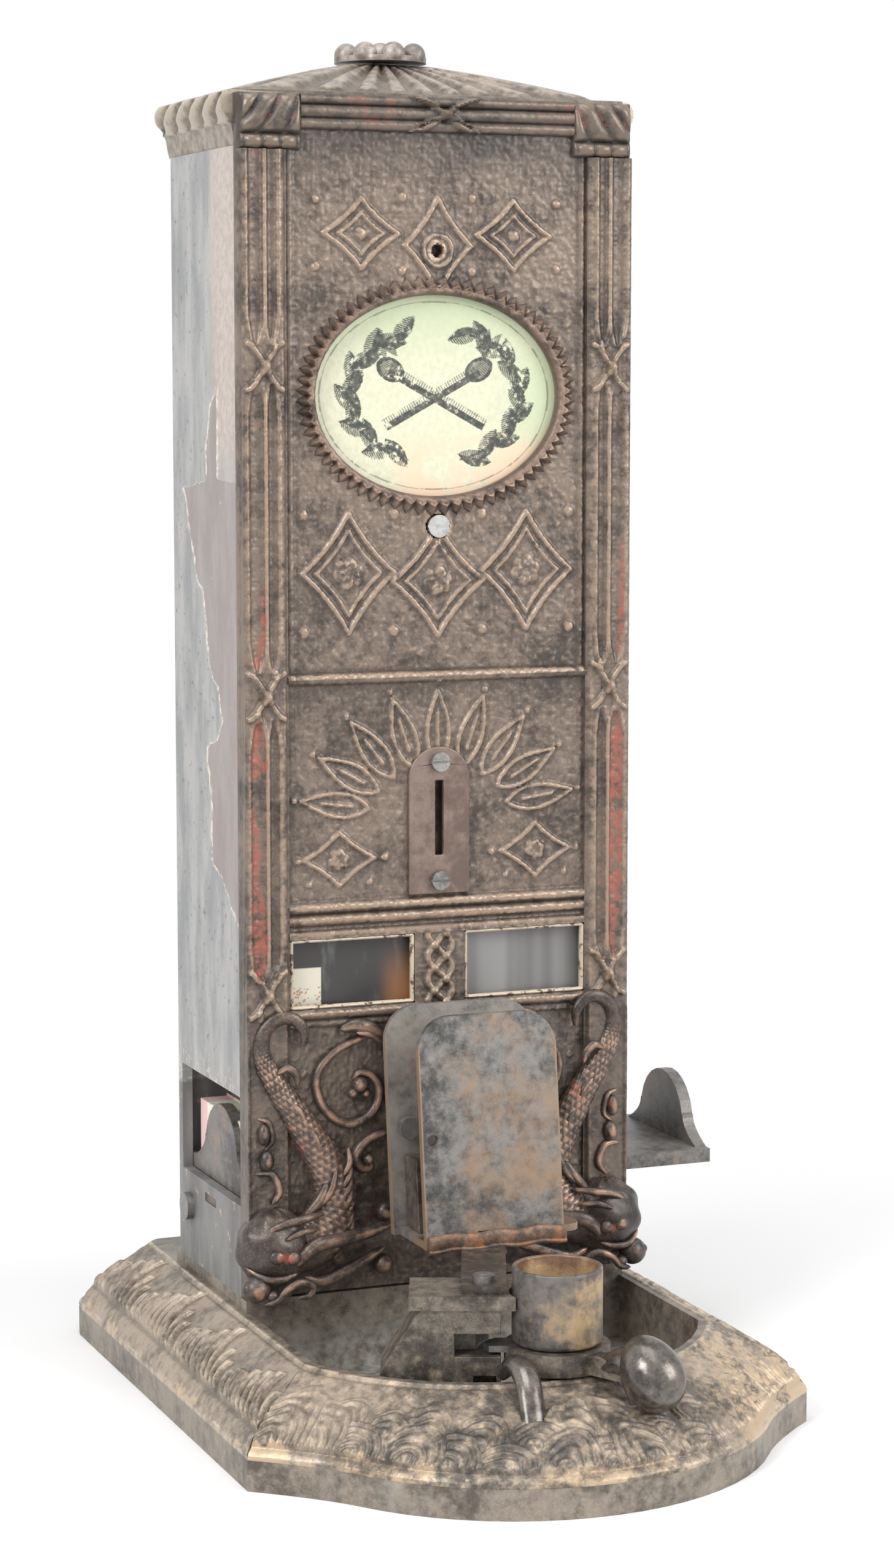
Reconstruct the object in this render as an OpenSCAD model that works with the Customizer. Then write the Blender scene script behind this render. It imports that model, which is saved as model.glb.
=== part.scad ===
// Match vending machine with a cigar cutter on its tray. Millimetres, +Z up, front towards -Y.
// x = 0 is the middle of the cabinet, y = 0 the field of the front casting, z = 0 the counter.

/* [Cabinet] */
// Width of the front casting
front_w = 115; // [105:1:130]
// Depth from the field of the front casting to the rear edge of the sides
cabinet_d = 60.5; // [58:0.5:75]
// Height of the side panels
side_h = 317.5; // [290:0.5:350]
// Thickness of the side panels
side_t = 3; // [2:0.25:4]
// Thickness of the front casting's field
casting_t = 4; // [3.5:0.25:6]
// Height of the front casting's rail above the side panels
crest_h = 14; // [12:0.5:18]
// Width of each pilaster
pilaster_w = 13; // [11:0.5:14]

/* [Base] */
// Width of the skirt at the counter
base_w = 162; // [154:1:176]
// Reach of the skirt behind the field
base_back = 94; // [91:0.5:100]
// Height of the upright band round the skirt
band_h = 8.3; // [6:0.1:11]
// Height of the ridge above the counter
ridge_h = 26.5; // [23:0.5:32]
// Distance between the two side ridges
ridge_w = 117; // [115:0.5:130]
// Width of the front rim in the middle
rim_w = 31.4; // [28:0.2:34]
// Distance of the front corners in front of the field
shoulder_d = 71; // [62:1:78]
// Height of the plinth under the cabinet
plinth_h = 3.5; // [2:0.5:8]
// Height of the tray floor above the counter
tray_floor = 8; // [6:0.5:12]
// Distance between the two counter screw holes
counter_pitch = 153; // [148:1:156]
// Radius of the counter screw holes
counter_r = 2.4; // [1.5:0.1:3]

/* [Front openings] */
// Width of a window
window_w = 37; // [33:0.5:39]
// Height of a window
window_h = 19.7; // [16:0.1:24]
// Height of the window sills above the foot of the casting
window_rise = 81.3; // [78:0.1:90]
// Width of the bar between the windows
mullion_w = 15; // [14:0.5:18]
// Width of the oval opening
oval_w = 72; // [60:1:80]
// Height of the oval opening
oval_h = 55.2; // [46:0.2:62]
// Height of the oval's middle above the foot of the casting
oval_rise = 250.5; // [240:0.5:262]
// Length of the coin slot
slot_l = 21; // [18:0.5:26]
// Width of the coin slot
slot_w = 2.4; // [1.8:0.1:3.2]
// Height of the slot's lower end above the foot of the casting
slot_rise = 122.7; // [118:0.1:130]

/* [Match boxes and slide] */
// Width of a match box
box_w = 36.4; // [30:0.1:37]
// Height of a match box
box_h = 16.8; // [14:0.1:18]
// Free length in front of a match box
box_play = 0.7; // [0.4:0.1:3]
// Travel of the delivery slide
slide_travel = 33.5; // [30:0.5:40]
// Thickness of the slide's tray
slide_t = 4; // [3:0.25:5]
// Height of the delivery openings' sill above the foot of the cabinet
sill_rise = 26; // [24:0.5:30]
// Height of the delivery openings
opening_h = 31; // [29:0.5:36]
// Width of an end tab above its flare
tab_w = 29; // [24:0.5:36]
// Height of an end tab above the slide's tray
tab_h = 19.2; // [16:0.2:24]
// Thickness of an end tab
tab_t = 3.5; // [2.5:0.25:5]

/* [Match box pocket] */
// Width of the pocket's front plate
pocket_w = 41; // [36:0.5:46]
// Height of the pocket
pocket_h = 63; // [50:1:66]
// Clear depth of the pocket
pocket_gap = 18; // [15:0.5:21]
// Thickness of the pocket's sheet
pocket_t = 2; // [1.5:0.1:2.5]
// How far the top of the pocket leans back
pocket_lean = 7.4; // [4:0.2:8]
// Height of the pocket's bottom above the tray floor
pocket_rise = 41; // [38:0.5:46]

/* [Cigar cutter] */
// Place of the cutter's pivot across the tray
cup_x = 2; // [-4:0.5:6]
// Distance of the cutter's pivot in front of the field
cup_d = 80; // [77:0.5:82]
// Distance from the cutter's pivot to the front wall of the tray
cutter_room = 10; // [9.5:0.1:16]
// Radius of the cup
cup_r = 12; // [10:0.1:12.8]
// Height of the cup
cup_h = 20.4; // [16:0.1:28]
// Wall of the cup
cup_t = 1.3; // [1:0.1:2.5]
// Radius of the lever's pivot
pivot_r = 3; // [2:0.1:4]
// Height of the lever above the ridge
lever_rise = 0.9; // [0.6:0.1:2]
// Thickness of the lever's hub
lever_t = 5.8; // [5:0.1:7]
// Reach of the egg knob from the pivot
knob_reach = 31.6; // [30:0.2:33]
// Radius of the egg knob
knob_r = 8.2; // [6:0.1:8.6]

/* [Roof] */
// Overhang of the eaves at the sides
eave = 3.5; // [2:0.25:6]
// Rise of the fluted dome
dome_h = 12; // [8:0.5:16]
// Radius of the finial's crown
finial_r = 13.7; // [11:0.1:14.5]
// Distance of the finial in front of the cabinet's rear edge
finial_back = 16.5; // [14:0.5:26]
// Lobes in the fluted dome
flutes = 28; // [20:2:36]

/* [Coin works and cash drawer] */
// Radius of the coin catch's pin
catch_pin_r = 1.5; // [1:0.1:2]
// Width of the cash drawer
drawer_w = 75; // [50:1:80]
// Length of the cash drawer
drawer_l = 85; // [60:0.5:86]

/* [Clearances] */
// Radial clearance of pins and screws in their holes
fit = 0.05; // [0.02:0.01:0.09]
// Clearance between pieces that slide past each other
gap = 0.3; // [0.2:0.05:0.5]

/* [Hidden] */
$fn = 48;
iron = [0.25, 0.21, 0.18];
steel = [0.55, 0.55, 0.56];
paint = [0.40, 0.43, 0.46];
brass = [0.70, 0.55, 0.30];
paper = [0.90, 0.87, 0.76];
glass = [0.75, 0.85, 0.85, 0.35];

half_w = front_w / 2;
side_in = half_w - side_t;
foot_z = ridge_h + plinth_h;
top_z = foot_z + side_h;
casting_h = side_h + crest_h;

// Skirt outline: bow, shoulder curve, flank and rear corner of the right half
bow_n = 10;
shoulder_n = 6;
corner_n = 4;
bow_r = 71;
tray_land = 2;
bow_end = 55;
base_front = cup_d + cutter_room + tray_land + rim_w;
bow_cy = bow_r - base_front;
bow_tip = [bow_r * sin(bow_end), bow_cy - bow_r * cos(bow_end)];
corner = [base_w / 2, -shoulder_d];
shoulder_a = bow_tip + 8 * [cos(bow_end), sin(bow_end)];
shoulder_b = corner - [9, 7];
corner_r = 7;
ridge_r = 4;
back_draft = 4;
rim_bow = 5.1;
rim_r = ridge_w / 2 + rim_bow;
rim_cy = rim_r + rim_w - base_front;
rim_end = asin(ridge_w / 2 / rim_r);
low_crown = [0.12, 2.3];
high_crown = [0.3, 3.1];

function bez(a, b, c, d, t) =
    a * pow(1 - t, 3) + 3 * b * t * pow(1 - t, 2) + 3 * c * t * t * (1 - t) + d * pow(t, 3);
function arc_pt(c, r, a) = c + r * [cos(a), sin(a)];
function bow_pt(a) = arc_pt([0, bow_cy], bow_r, a - 90);
function rim_pt(a, r) = arc_pt([0, rim_cy], r, a - 90);
function rear_corner(w, back, r) =
    [for (i = [0:corner_n]) arc_pt([w / 2 - r, back - r], r, 90 * i / corner_n)];
function mix(a, b, t) = a * (1 - t) + b * t;

outer_half = concat(
    [for (i = [0:bow_n]) bow_pt(bow_end * i / bow_n)],
    [for (i = [1:shoulder_n]) bez(bow_tip, shoulder_a, shoulder_b, corner, i / shoulder_n)],
    rear_corner(base_w, base_back, corner_r));
ridge_half = concat(
    [for (i = [0:bow_n + shoulder_n]) rim_pt(rim_end * i / (bow_n + shoulder_n), rim_r)],
    rear_corner(ridge_w, base_back - back_draft, ridge_r));
function crown_half(c) = [for (i = [0:len(outer_half) - 1]) mix(outer_half[i], ridge_half[i], c[0])];
function crown_z(c) = mix(band_h, ridge_h, c[0]) + c[1];

// Tray in front of the cabinet
plinth_lip = 0.5;
plinth_back = cabinet_d + 3.5;
tray_r = rim_r - tray_land;
tray_half = ridge_w / 2 - tray_land;
tray_end = asin(tray_half / tray_r);
tray_outline = concat(
    [for (i = [-8:8]) rim_pt(tray_end * i / 8, tray_r)],
    [[tray_half, -plinth_lip], [-tray_half, -plinth_lip]]);

// Hollows under the base
plate_t = 1.5;
plate_x = 52;
plate_y0 = -38;
plate_y1 = base_back - 8;
plate_screw_x = plate_x - 5;
plate_screw_y0 = plate_y0 + 5;
plate_screw_y1 = plate_y1 - 4;
plate_screw_r = 1.2;
flank_in = ridge_w / 2 + 1.5;
flank_out = base_w / 2 - 6;
flank_y0 = -shoulder_d + 22;
counter_y = base_back - 22.5;
flank_y1 = counter_y - 6;
flank_low = band_h - 2;
flank_high = ridge_h - 9;
drawer_h = 18.4;
drawer_z = plate_t + gap;
drawer_top = drawer_z + drawer_h;
drawer_face = base_back - back_draft - 1;
drawer_wall = 1.5;
coin_hole = 26;

// Coin slot and windows
window_z = foot_z + window_rise;
oval_z = foot_z + oval_rise;
slot_z = foot_z + slot_rise;
slot_mid = slot_z + slot_l / 2;
rebate = 2;
rebate_d = 2;
oval_rebate = 3;
card_t = 0.4;
backing_t = 1.5;
plate_half = 9.15;
slot_plate_t = 1.6;
slot_plate_low = slot_z - 11;
slot_plate_top = slot_z + slot_l + 9.5;
slot_screw_low = slot_z - 7.1;
slot_screw_top = slot_z + slot_l + 5.3;
slot_screw_r = 1.4;
picture_screw_z = oval_z - oval_h / 2 - 8.3;
picture_hole_z = oval_z + oval_h / 2 + 12.1;
picture_screw_r = 1.6;
picture_head_r = 3.15;
picture_strap_w = 5.6;
picture_strap_t = 1.2;

// Relief of the front casting
reed_r = 2.1;
reed_pitch = (pilaster_w - 2 * reed_r - 0.8) / 2;
pilaster_x = half_w - pilaster_w / 2;
pilaster_t = 1.5;
pilaster_top = top_z + 2.5;
knots = [foot_z + 88, foot_z + 173, foot_z + 258.5];
block_w = 17.5;
block_t = 3.5;
block_in = 0.8;
rail_r = 2.4;
rail_z = top_z + 9.4;
mid_rail_z = foot_z + 173;
low_rail_z = foot_z + 107.7;
ring_band = 5.5;
ring_t = 3.2;
tooth = 1;
teeth = 68;
frame_t = 1.6;
scroll_x = 24.6;
scroll_z = foot_z + 61.7;
scroll_r = 11;
scroll_tube = 1.7;
dolphin_sides = 12;

// Path of the thumb horn: x and y from the pivot, z from the ridge, radius
horn = [
    [-17.5, -4.5, 1.5, 2.2], [-16.3, -8.5, 4.3, 2.9], [-15.6, -13, 3.7, 3.3], [-15.9, -17.5, 0.7, 3.3],
    [-16.7, -21.3, -4.2, 3.2], [-17.6, -24.3, -9.9, 3.2], [-18.2, -25.8, -13, 3]];

// Path of the right dolphin: x from the pilaster's outer edge, y, z from the foot, radius
dolphin = [
    [1.2, -9, 2.6, 1], [0.2, -8.2, 3.9, 2.9], [-2.2, -6.8, 7.5, 4.4], [-6, -5.2, 12.5, 6.2],
    [-11.5, -4, 18, 6.8], [-18.5, -3.2, 24, 6.4], [-24.5, -2.6, 31, 5.7], [-27, -2.2, 40, 4.9],
    [-24.5, -2, 50, 4.2], [-19.5, -1.8, 61, 3.5], [-14, -1.6, 71, 2.9], [-11, -1.5, 78, 2.2]];

// Sides and slide
sill_z = foot_z + sill_rise;
opening_top = sill_z + opening_h;
opening_back = cabinet_d - 3.5;
flange_w = 7;
flange_t = 1.5;
slide_y0 = casting_t + gap;
slide_y1 = opening_back - 0.6;
slide_y = (slide_y0 + slide_y1) / 2;
slide_z = sill_z + gap;
slide_top = slide_z + slide_t;
slide_x = slide_travel / 2;
slide_half = side_in + slide_travel / 2;
column_x = mullion_w / 2 + window_w / 2;
pocket_off = column_x + slide_travel / 2;
block_half = pocket_off - box_w / 2 - gap;
block_top = slide_top + box_h + gap;
block_wall = 2;
coin_slot_y0 = slide_y0 + 0.6;
coin_slot_l = slot_l + 0.6;
flare = 9;
flare_h = 8;
rivet_r = 1.4;
rivet_y = 9;
bed_t = 2.5;
bed_y1 = cabinet_d - 2;
bed_flange_h = 14;
bed_flange_t = 1.5;
bolt_y = cabinet_d - 10.5;
bolt_z = sill_z - 10;
bolt_r = 2;
bolt_head = 4;
box_y0 = slide_y0 + box_play;
box_l = slide_y1 - box_y0;
stack_z = block_top + gap;

// Match box columns and coin catch
sheet = 1;
column_half = window_w / 2;
column_z = block_top + 0.6;
column_top = top_z - 7.5;
column_room = 5;
column_back = cabinet_d - column_room;
foot_w = 3.2;
column_screw_x = mullion_w / 2 - sheet - foot_w / 2;
screw_rise = 110;
screw_drop = 8;
column_screws = [foot_z + screw_rise, column_top - screw_drop];
column_screw_r = 1;
chute_wall = 1;
chute_half = slot_w / 2 + chute_wall;
chute_back = casting_t + slot_l + 2.4;
chute_rise = 14;
chute_low = column_z + chute_rise;
chute_top = slot_z + slot_l + 4;
catch_y = cabinet_d - 11;
catch_z = column_z + chute_rise;
catch_arm_z = catch_z - 6;
catch_tip = casting_t + 5;
catch_half = 1.5;
nose_y = catch_y - 15;
nose_half = 2;
nose_z = block_top + 0.4;
notch_y0 = nose_y - 4;
notch_y1 = nose_y + 7;
notch_half = 2.6;
spring_half = 4.5;

// Rear door
door_t = 1.3;
door_y = cabinet_d + gap;
door_z0 = foot_z + 1;
door_z1 = top_z - 1;
hinge_x = half_w + 1.6;
hinge_y = door_y + door_t + 0.3;
hinge_pin_r = 1;
knuckle_r = 1.9;
hinge_l = 30;
hinge_low = 45;
hinge_high = 75;
hinges = [foot_z + hinge_low, top_z - hinge_high];
leaf_t = 1;
leaf_w = 12;
lock_x = 1 - half_w + 8;
lock_z = foot_z + 160;
lock_r = 3.2;
lock_y = cabinet_d - 2.2;
cam_t = 1.8;
cam_reach = 5.4;
lip_w = 2.2;

// Roof
roof_front = casting_t + 0.2;
roof_back = cabinet_d + 3.3;
finial_d = cabinet_d - finial_back;
roof_half = half_w + eave;
roof_z = top_z + 14.8;
dome_z = roof_z + dome_h;
dome_half = half_w + 0.4;
dome_back = roof_back - 0.6;
finial_seat = finial_r - 1.2;
stud_r = 2.5;
ceiling_z = top_z + 11;
bar_z = column_top + 0.5;
bar_t = 3;
bar_w = 13;
nut_h = 4;
nut_r = 4.5;

// Cigar cutter, in its own frame turned to the left of the front
cut_yaw = 22.3;
knob_turn = -40;
lever_z = ridge_h + lever_rise;
lever_top = lever_z + lever_t;
hub_r = cup_r + 2;
cup_z = lever_top + gap;
pivot_low = tray_floor + 2;
boss_r = 6;
screw_r = 1.5;
house_front = -5.5;
house_back = 12;
house_left = -36;
house_right = -hub_r - 0.8;
slab_z = lever_z + 15.8;
slab_t = pocket_rise + tray_floor - slab_z - pocket_t;
slab_left = -39;
cavity_r = 21.5;
cavity_z0 = lever_top - 2.6;
cavity_z1 = lever_top + 3.5;
blade_t = 1.7;
blade_z = lever_top - blade_t;
blade_tip = -19.5;
blade_half = 4;
blade_in = -8.5;
blade_rivet = -11;
arm_w = 8.5;
arm_drop = 0.5;
knob_stud = 2;
knob_l = 22;
knob_tilt = 55;
knob_drop = 0.7;
arm_end = knob_reach - 5;

// Pocket and its strap
pocket_x = 3;
pocket_z = tray_floor + pocket_rise;
pocket_front = -36;
pocket_back = pocket_front + pocket_gap + 2 * pocket_t;
pocket_round = 10;
pocket_back_w = pocket_w + 4;
pocket_screw_x = pocket_x - 17.3;
pocket_screw_z = pocket_z + 29.7;
pocket_slope = pocket_lean / pocket_h;
pocket_rear_y = pocket_back + pocket_slope * (pocket_screw_z - pocket_z);
strap_w = 12;
strap_u = -19.3;
strap_v0 = -4;
strap_v1 = 44;
strap_screw0 = 1.5;
strap_screw1 = 40;
block_depth = 9;
block_rise = 20;

// Shared shapes

module box(lo, hi) {
    translate(lo)
        cube(hi - lo);
}

module both() {
    children();
    mirror([1, 0, 0])
        children();
}

// Extrudes an (x, z) shape from y = y0 over the depth t
module along_y(y0, t) {
    translate([0, y0 + t, 0])
        rotate([90, 0, 0])
            linear_extrude(t)
                children();
}

// Extrudes a (y, z) shape from x = x0 over the width t
module along_x(x0, t) {
    translate([x0, 0, 0])
        rotate([90, 0, 90])
            linear_extrude(t)
                children();
}

module rod_x(y, z, x0, x1, r) {
    translate([x0, y, z])
        rotate([0, 90, 0])
            cylinder(h = x1 - x0, r = r);
}

module rod_y(x, z, y0, y1, r) {
    translate([x, y0, z])
        rotate([-90, 0, 0])
            cylinder(h = y1 - y0, r = r);
}

module rod_z(x, y, z0, z1, r) {
    translate([x, y, z0])
        cylinder(h = z1 - z0, r = r);
}

module hex_nut(h, r, bore) {
    difference() {
        cylinder(h = h, r = r, $fn = 6);
        translate([0, 0, -1])
            cylinder(h = h + 2, r = bore);
    }
}

// Frame of the cutter: origin on the pivot, +X along its housing's front
module at_cutter() {
    translate([cup_x, -cup_d, 0])
        rotate([0, 0, -cut_yaw])
            children();
}

function ellipse(a, b, n) = [for (i = [0:n - 1]) [a * cos(360 * i / n), b * sin(360 * i / n)]];
function toothed(a, b) =
    [for (i = [0:4 * teeth - 1])
        let (cut = (i % 4 < 2) ? 0 : tooth, t = 90 * i / teeth)
        [(a - cut) * cos(t), (b - cut) * sin(t)]];
function flat(l) = [for (a = l) for (b = a) b];
function flip(tris) = [for (t = tris) [t[2], t[1], t[0]]];
function fan(n, s, mid) = [for (i = [0:n - 1]) [mid, s + i, s + (i + 1) % n]];
function middle(ring) = [for (p = ring) 1] * ring / len(ring);
function strips(h, s) =
    let (n = 2 * h - 1)
    concat([[s, s + 1, s + n - 1]],
        [for (i = [1:h - 2]) each [[s + i, s + i + 1, s + n - i - 1], [s + i, s + n - i - 1, s + n - i]]]);
function loop(half, z) = concat(
    [for (p = half) [p.x, p.y, z]],
    [for (i = [len(half) - 1:-1:1]) [-half[i].x, half[i].y, z]]);
function unit(v) = v / norm(v);
function tube_ring(c, t, up, r, n) =
    let (e1 = unit(cross(t, up)), e2 = cross(t, e1))
    [for (i = [0:n - 1]) c + r * (cos(360 * i / n) * e1 + sin(360 * i / n) * e2)];
function along(path, i) =
    unit(path[min(i + 1, len(path) - 1)] - path[max(i - 1, 0)]);
function tube(path, radii, up, n) =
    [for (i = [0:len(path) - 1]) tube_ring(path[i], along(path, i), up, radii[i], n)];

// Closed skin over rings of equal length; half > 0 caps mirrored outlines in strips
module loft(rings, half = 0) {
    n = len(rings[0]);
    m = len(rings);
    walls = [for (k = [0:m - 2]) for (i = [0:n - 1])
        let (j = (i + 1) % n, a = k * n)
        each [[a + i, a + n + i, a + n + j], [a + i, a + n + j, a + j]]];
    low = half > 0 ? strips(half, 0) : fan(n, 0, m * n);
    high = half > 0 ? strips(half, (m - 1) * n) : fan(n, (m - 1) * n, m * n + 1);
    mids = half > 0 ? [] : [middle(rings[0]), middle(rings[m - 1])];
    polyhedron(concat(flat(rings), mids), concat(walls, low, flip(high)));
}

// Base

module skirt() {
    loft([loop(outer_half, 0), loop(outer_half, band_h), loop(crown_half(low_crown), crown_z(low_crown)),
        loop(crown_half(high_crown), crown_z(high_crown)), loop(ridge_half, ridge_h)],
        len(outer_half));
}

module flank_hollow() {
    translate([0, flank_y1, 0])
        rotate([90, 0, 0])
            linear_extrude(flank_y1 - flank_y0)
                polygon([[flank_in, -1], [flank_out, -1], [flank_out, flank_low],
                    [flank_in + 2, flank_high], [flank_in, flank_high]]);
}

module plate_screw_places() {
    for (y = [plate_screw_y0, plate_screw_y1])
        both()
            translate([plate_screw_x, y, 0])
                children();
}

module base_casting() {
    color(iron) {
        difference() {
            union() {
                skirt();
                box([-half_w, -plinth_lip, ridge_h - 1], [half_w, plinth_back, foot_z]);
            }
            translate([0, 0, tray_floor])
                linear_extrude(foot_z)
                    polygon(tray_outline);
            box([-plate_x, plate_y0, -1], [plate_x, plate_y1, plate_t]);
            box([-drawer_w / 2 - gap, drawer_face - drawer_l - gap, plate_t - 0.5],
                [drawer_w / 2 + gap, base_back + 1, drawer_top + gap]);
            both()
                flank_hollow();
            box([-coin_hole / 2, coin_slot_y0, drawer_top - 1],
                [coin_hole / 2, coin_slot_y0 + coin_slot_l, foot_z + 1]);
            both()
                rod_z(counter_pitch / 2, counter_y, -1, ridge_h, counter_r);
            plate_screw_places()
                cylinder(h = plate_t + 5, r = plate_screw_r + fit);
            rod_z(cup_x, -cup_d, pivot_low, ridge_h + 2, pivot_r + fit);
        }
        difference() {
            rod_z(cup_x, -cup_d, tray_floor, lever_z - gap, boss_r);
            rod_z(cup_x, -cup_d, tray_floor - 1, lever_z, pivot_r + fit);
        }
    }
}

module base_plate() {
    color(steel)
        difference() {
            box([0.1 - plate_x, plate_y0 + 0.1, 0], [plate_x - 0.1, plate_y1 - 0.1, plate_t]);
            plate_screw_places()
                translate([0, 0, -1])
                    cylinder(h = plate_t + 2, r = plate_screw_r + fit);
            plate_screw_places()
                translate([0, 0, -1])
                    cylinder(h = 1.9, r = 2.5);
        }
}

module base_plate_screws() {
    color(steel)
        plate_screw_places() {
            translate([0, 0, 0.9])
                cylinder(h = plate_t + 3, r = plate_screw_r);
            translate([0, 0, 0.3])
                cylinder(h = 0.6, r = 2.4);
        }
}

// Cigar cutter

module house_side() {
    polygon([[house_right, tray_floor], [house_right, slab_z], [house_left, slab_z],
        [house_left - 10.5, ridge_h], [house_left - 12, tray_floor]]);
}

module cutter_housing() {
    color(iron)
        at_cutter()
            difference() {
                union() {
                    along_y(house_front, house_back - house_front)
                        house_side();
                    box([slab_left, house_front - 1, slab_z], [2, house_back + 1.5, slab_z + slab_t]);
                }
                rod_z(0, 0, lever_z - 1, lever_top + 0.2, hub_r + 0.5);
                rod_z(0, 0, lever_top, slab_z + slab_t + 1, cup_r + 0.7);
                translate([0, 0, cavity_z0])
                    intersection() {
                        cylinder(h = cavity_z1 - cavity_z0, r = cavity_r);
                        rotate([0, 0, 105])
                            cube([cavity_r, cavity_r, cavity_z1 - cavity_z0]);
                    }
                box([-27, house_front - 1, cavity_z0], [house_right + 1, 2, cavity_z1]);
                box([-22, house_front - 1, lever_z - 5], [-16, 0, lever_z - 2]);
                rod_z(strap_u, strap_screw0, cavity_z1 - 1, pocket_z, screw_r + fit);
            }
}

module cutter_pivot() {
    color(steel)
        difference() {
            rod_z(cup_x, -cup_d, pivot_low, cup_z, pivot_r);
            rod_z(cup_x, -cup_d, cup_z - 9, cup_z + 1, screw_r + fit);
        }
}

module lever_arm(grow) {
    rotate([0, 0, knob_turn]) {
        box([0, -arm_w / 2 - grow, lever_z + arm_drop - grow],
            [arm_end + grow, arm_w / 2 + grow, lever_top - arm_drop + grow]);
        rod_x(0, lever_z + lever_t / 2, arm_end - 1, knob_reach + 3 + grow, knob_stud + grow);
    }
}

module cutter_lever() {
    color(steel)
        at_cutter()
            difference() {
                union() {
                    rod_z(0, 0, lever_z, lever_top, hub_r);
                    lever_arm(0);
                }
                rod_z(0, 0, lever_z - 1, lever_top + 1, pivot_r + fit);
                box([-hub_r - 1, -blade_half - 0.2, blade_z], [blade_in, blade_half + 0.2, lever_top + 1]);
                blade_rivet_places()
                    rod_z(0, 0, lever_z - 1, lever_top, 1 + fit);
            }
}

module blade_rivet_places() {
    for (v = [-2, 2])
        translate([blade_rivet, v, 0])
            children();
}

module lever_knob() {
    egg = [for (i = [0:24])
        let (t = 180 * i / 24, s = -cos(t))
        [knob_r * sin(t) * (1 + 0.1 * s), knob_l / 2 * s]];
    color(steel)
        at_cutter()
            difference() {
                rotate([0, 0, knob_turn])
                    translate([knob_reach, 0, lever_z + lever_t / 2 - knob_drop])
                        rotate([0, 90 + knob_tilt, 0])
                            rotate_extrude()
                                polygon(egg);
                lever_arm(fit);
            }
}

module cutter_blade() {
    color(steel)
        at_cutter()
            difference() {
                translate([0, 0, blade_z])
                    linear_extrude(blade_t)
                        polygon([[blade_in, -blade_half], [blade_in, blade_half], [blade_tip + 3, blade_half],
                            [blade_tip, -1], [blade_tip + 1.5, -blade_half]]);
                blade_rivet_places()
                    rod_z(0, 0, blade_z - 1, lever_top + 1, 1 + fit);
            }
}

module blade_rivets() {
    color(steel)
        at_cutter()
            blade_rivet_places()
                rod_z(0, 0, lever_z + 0.5, lever_top, 1);
}

module lever_spring() {
    color(steel)
        difference() {
            rod_z(cup_x, -cup_d, lever_z - 9, lever_z - 0.8, boss_r + 1.7);
            rod_z(cup_x, -cup_d, lever_z - 10, lever_z, boss_r + 0.4);
        }
}

module ash_cup() {
    wall = [[0, 0], [cup_r - 0.8, 0], [cup_r, 0.8], [cup_r, cup_h], [cup_r - cup_t, cup_h],
        [cup_r - cup_t, 1.6], [0, 1.6]];
    color(iron)
        translate([cup_x, -cup_d, cup_z])
            difference() {
                rotate_extrude()
                    polygon(wall);
                translate([0, 0, -1])
                    cylinder(h = 4, r = screw_r + fit);
            }
}

module cup_screw() {
    color(steel)
        difference() {
            union() {
                rod_z(cup_x, -cup_d, cup_z - 7, cup_z + 1.6, screw_r);
                rod_z(cup_x, -cup_d, cup_z + 1.6, cup_z + 3.4, 3.2);
            }
            translate([cup_x - 4, -cup_d - 0.4, cup_z + 2.6])
                cube([8, 0.8, 2]);
        }
}

module thumb_horn() {
    path = [for (p = horn) [cup_x + p[0], p[1] - cup_d, ridge_h + p[2]]];
    radii = [for (p = horn) p[3]];
    color(steel)
        difference() {
            loft(tube(path, radii, [1, 0, 0], 16));
            skirt();
            at_cutter()
                along_y(house_front - 0.05, house_back - house_front)
                    house_side();
        }
}

// Match box pocket

module rounded_top(x, w, z0, h, r) {
    translate([x - w / 2, z0])
        square([w, h - r]);
    translate([x - w / 2 + r, z0])
        square([w - 2 * r, h]);
    for (s = [-1, 1])
        translate([x + s * (w / 2 - r), z0 + h - r])
            circle(r);
}

module pocket_plate(w, y) {
    intersection() {
        along_y(pocket_front - 10, 60)
            rounded_top(pocket_x, w, pocket_z, pocket_h, pocket_round);
        along_x(pocket_x - w, 2 * w)
            polygon([[y, pocket_z], [y + pocket_lean, pocket_z + pocket_h],
                [y + pocket_lean + pocket_t, pocket_z + pocket_h], [y + pocket_t, pocket_z]]);
    }
}

module matchbox_pocket() {
    color(iron)
        difference() {
            union() {
                pocket_plate(pocket_w, pocket_front);
                pocket_plate(pocket_back_w, pocket_back - pocket_t);
                box([pocket_x - pocket_w / 2, pocket_front, pocket_z],
                    [pocket_x + pocket_w / 2, pocket_back, pocket_z + pocket_t]);
                box([pocket_x + pocket_w / 2 - 1, pocket_front + 6, pocket_z],
                    [pocket_x + pocket_w / 2 + 4, pocket_front + 14, pocket_z + pocket_t]);
                rod_z(pocket_x + pocket_w / 2 + 4, pocket_front + 10, pocket_z, pocket_z + pocket_t, 4);
            }
            rod_y(pocket_screw_x, pocket_screw_z, pocket_front, 0, screw_r + fit);
            at_cutter()
                rod_z(strap_u, strap_screw1, pocket_z - 1, pocket_z + 4, screw_r + fit);
        }
}

module pocket_block() {
    low = pocket_back - pocket_t - block_depth - 0.1;
    lean = pocket_slope * block_rise;
    color(iron)
        along_x(pocket_x - pocket_w / 2 + 2, pocket_w - 4)
            polygon([[low, pocket_z + pocket_t], [low + block_depth, pocket_z + pocket_t],
                [low + block_depth + lean, pocket_z + pocket_t + block_rise],
                [low + lean, pocket_z + pocket_t + block_rise]]);
}

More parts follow.
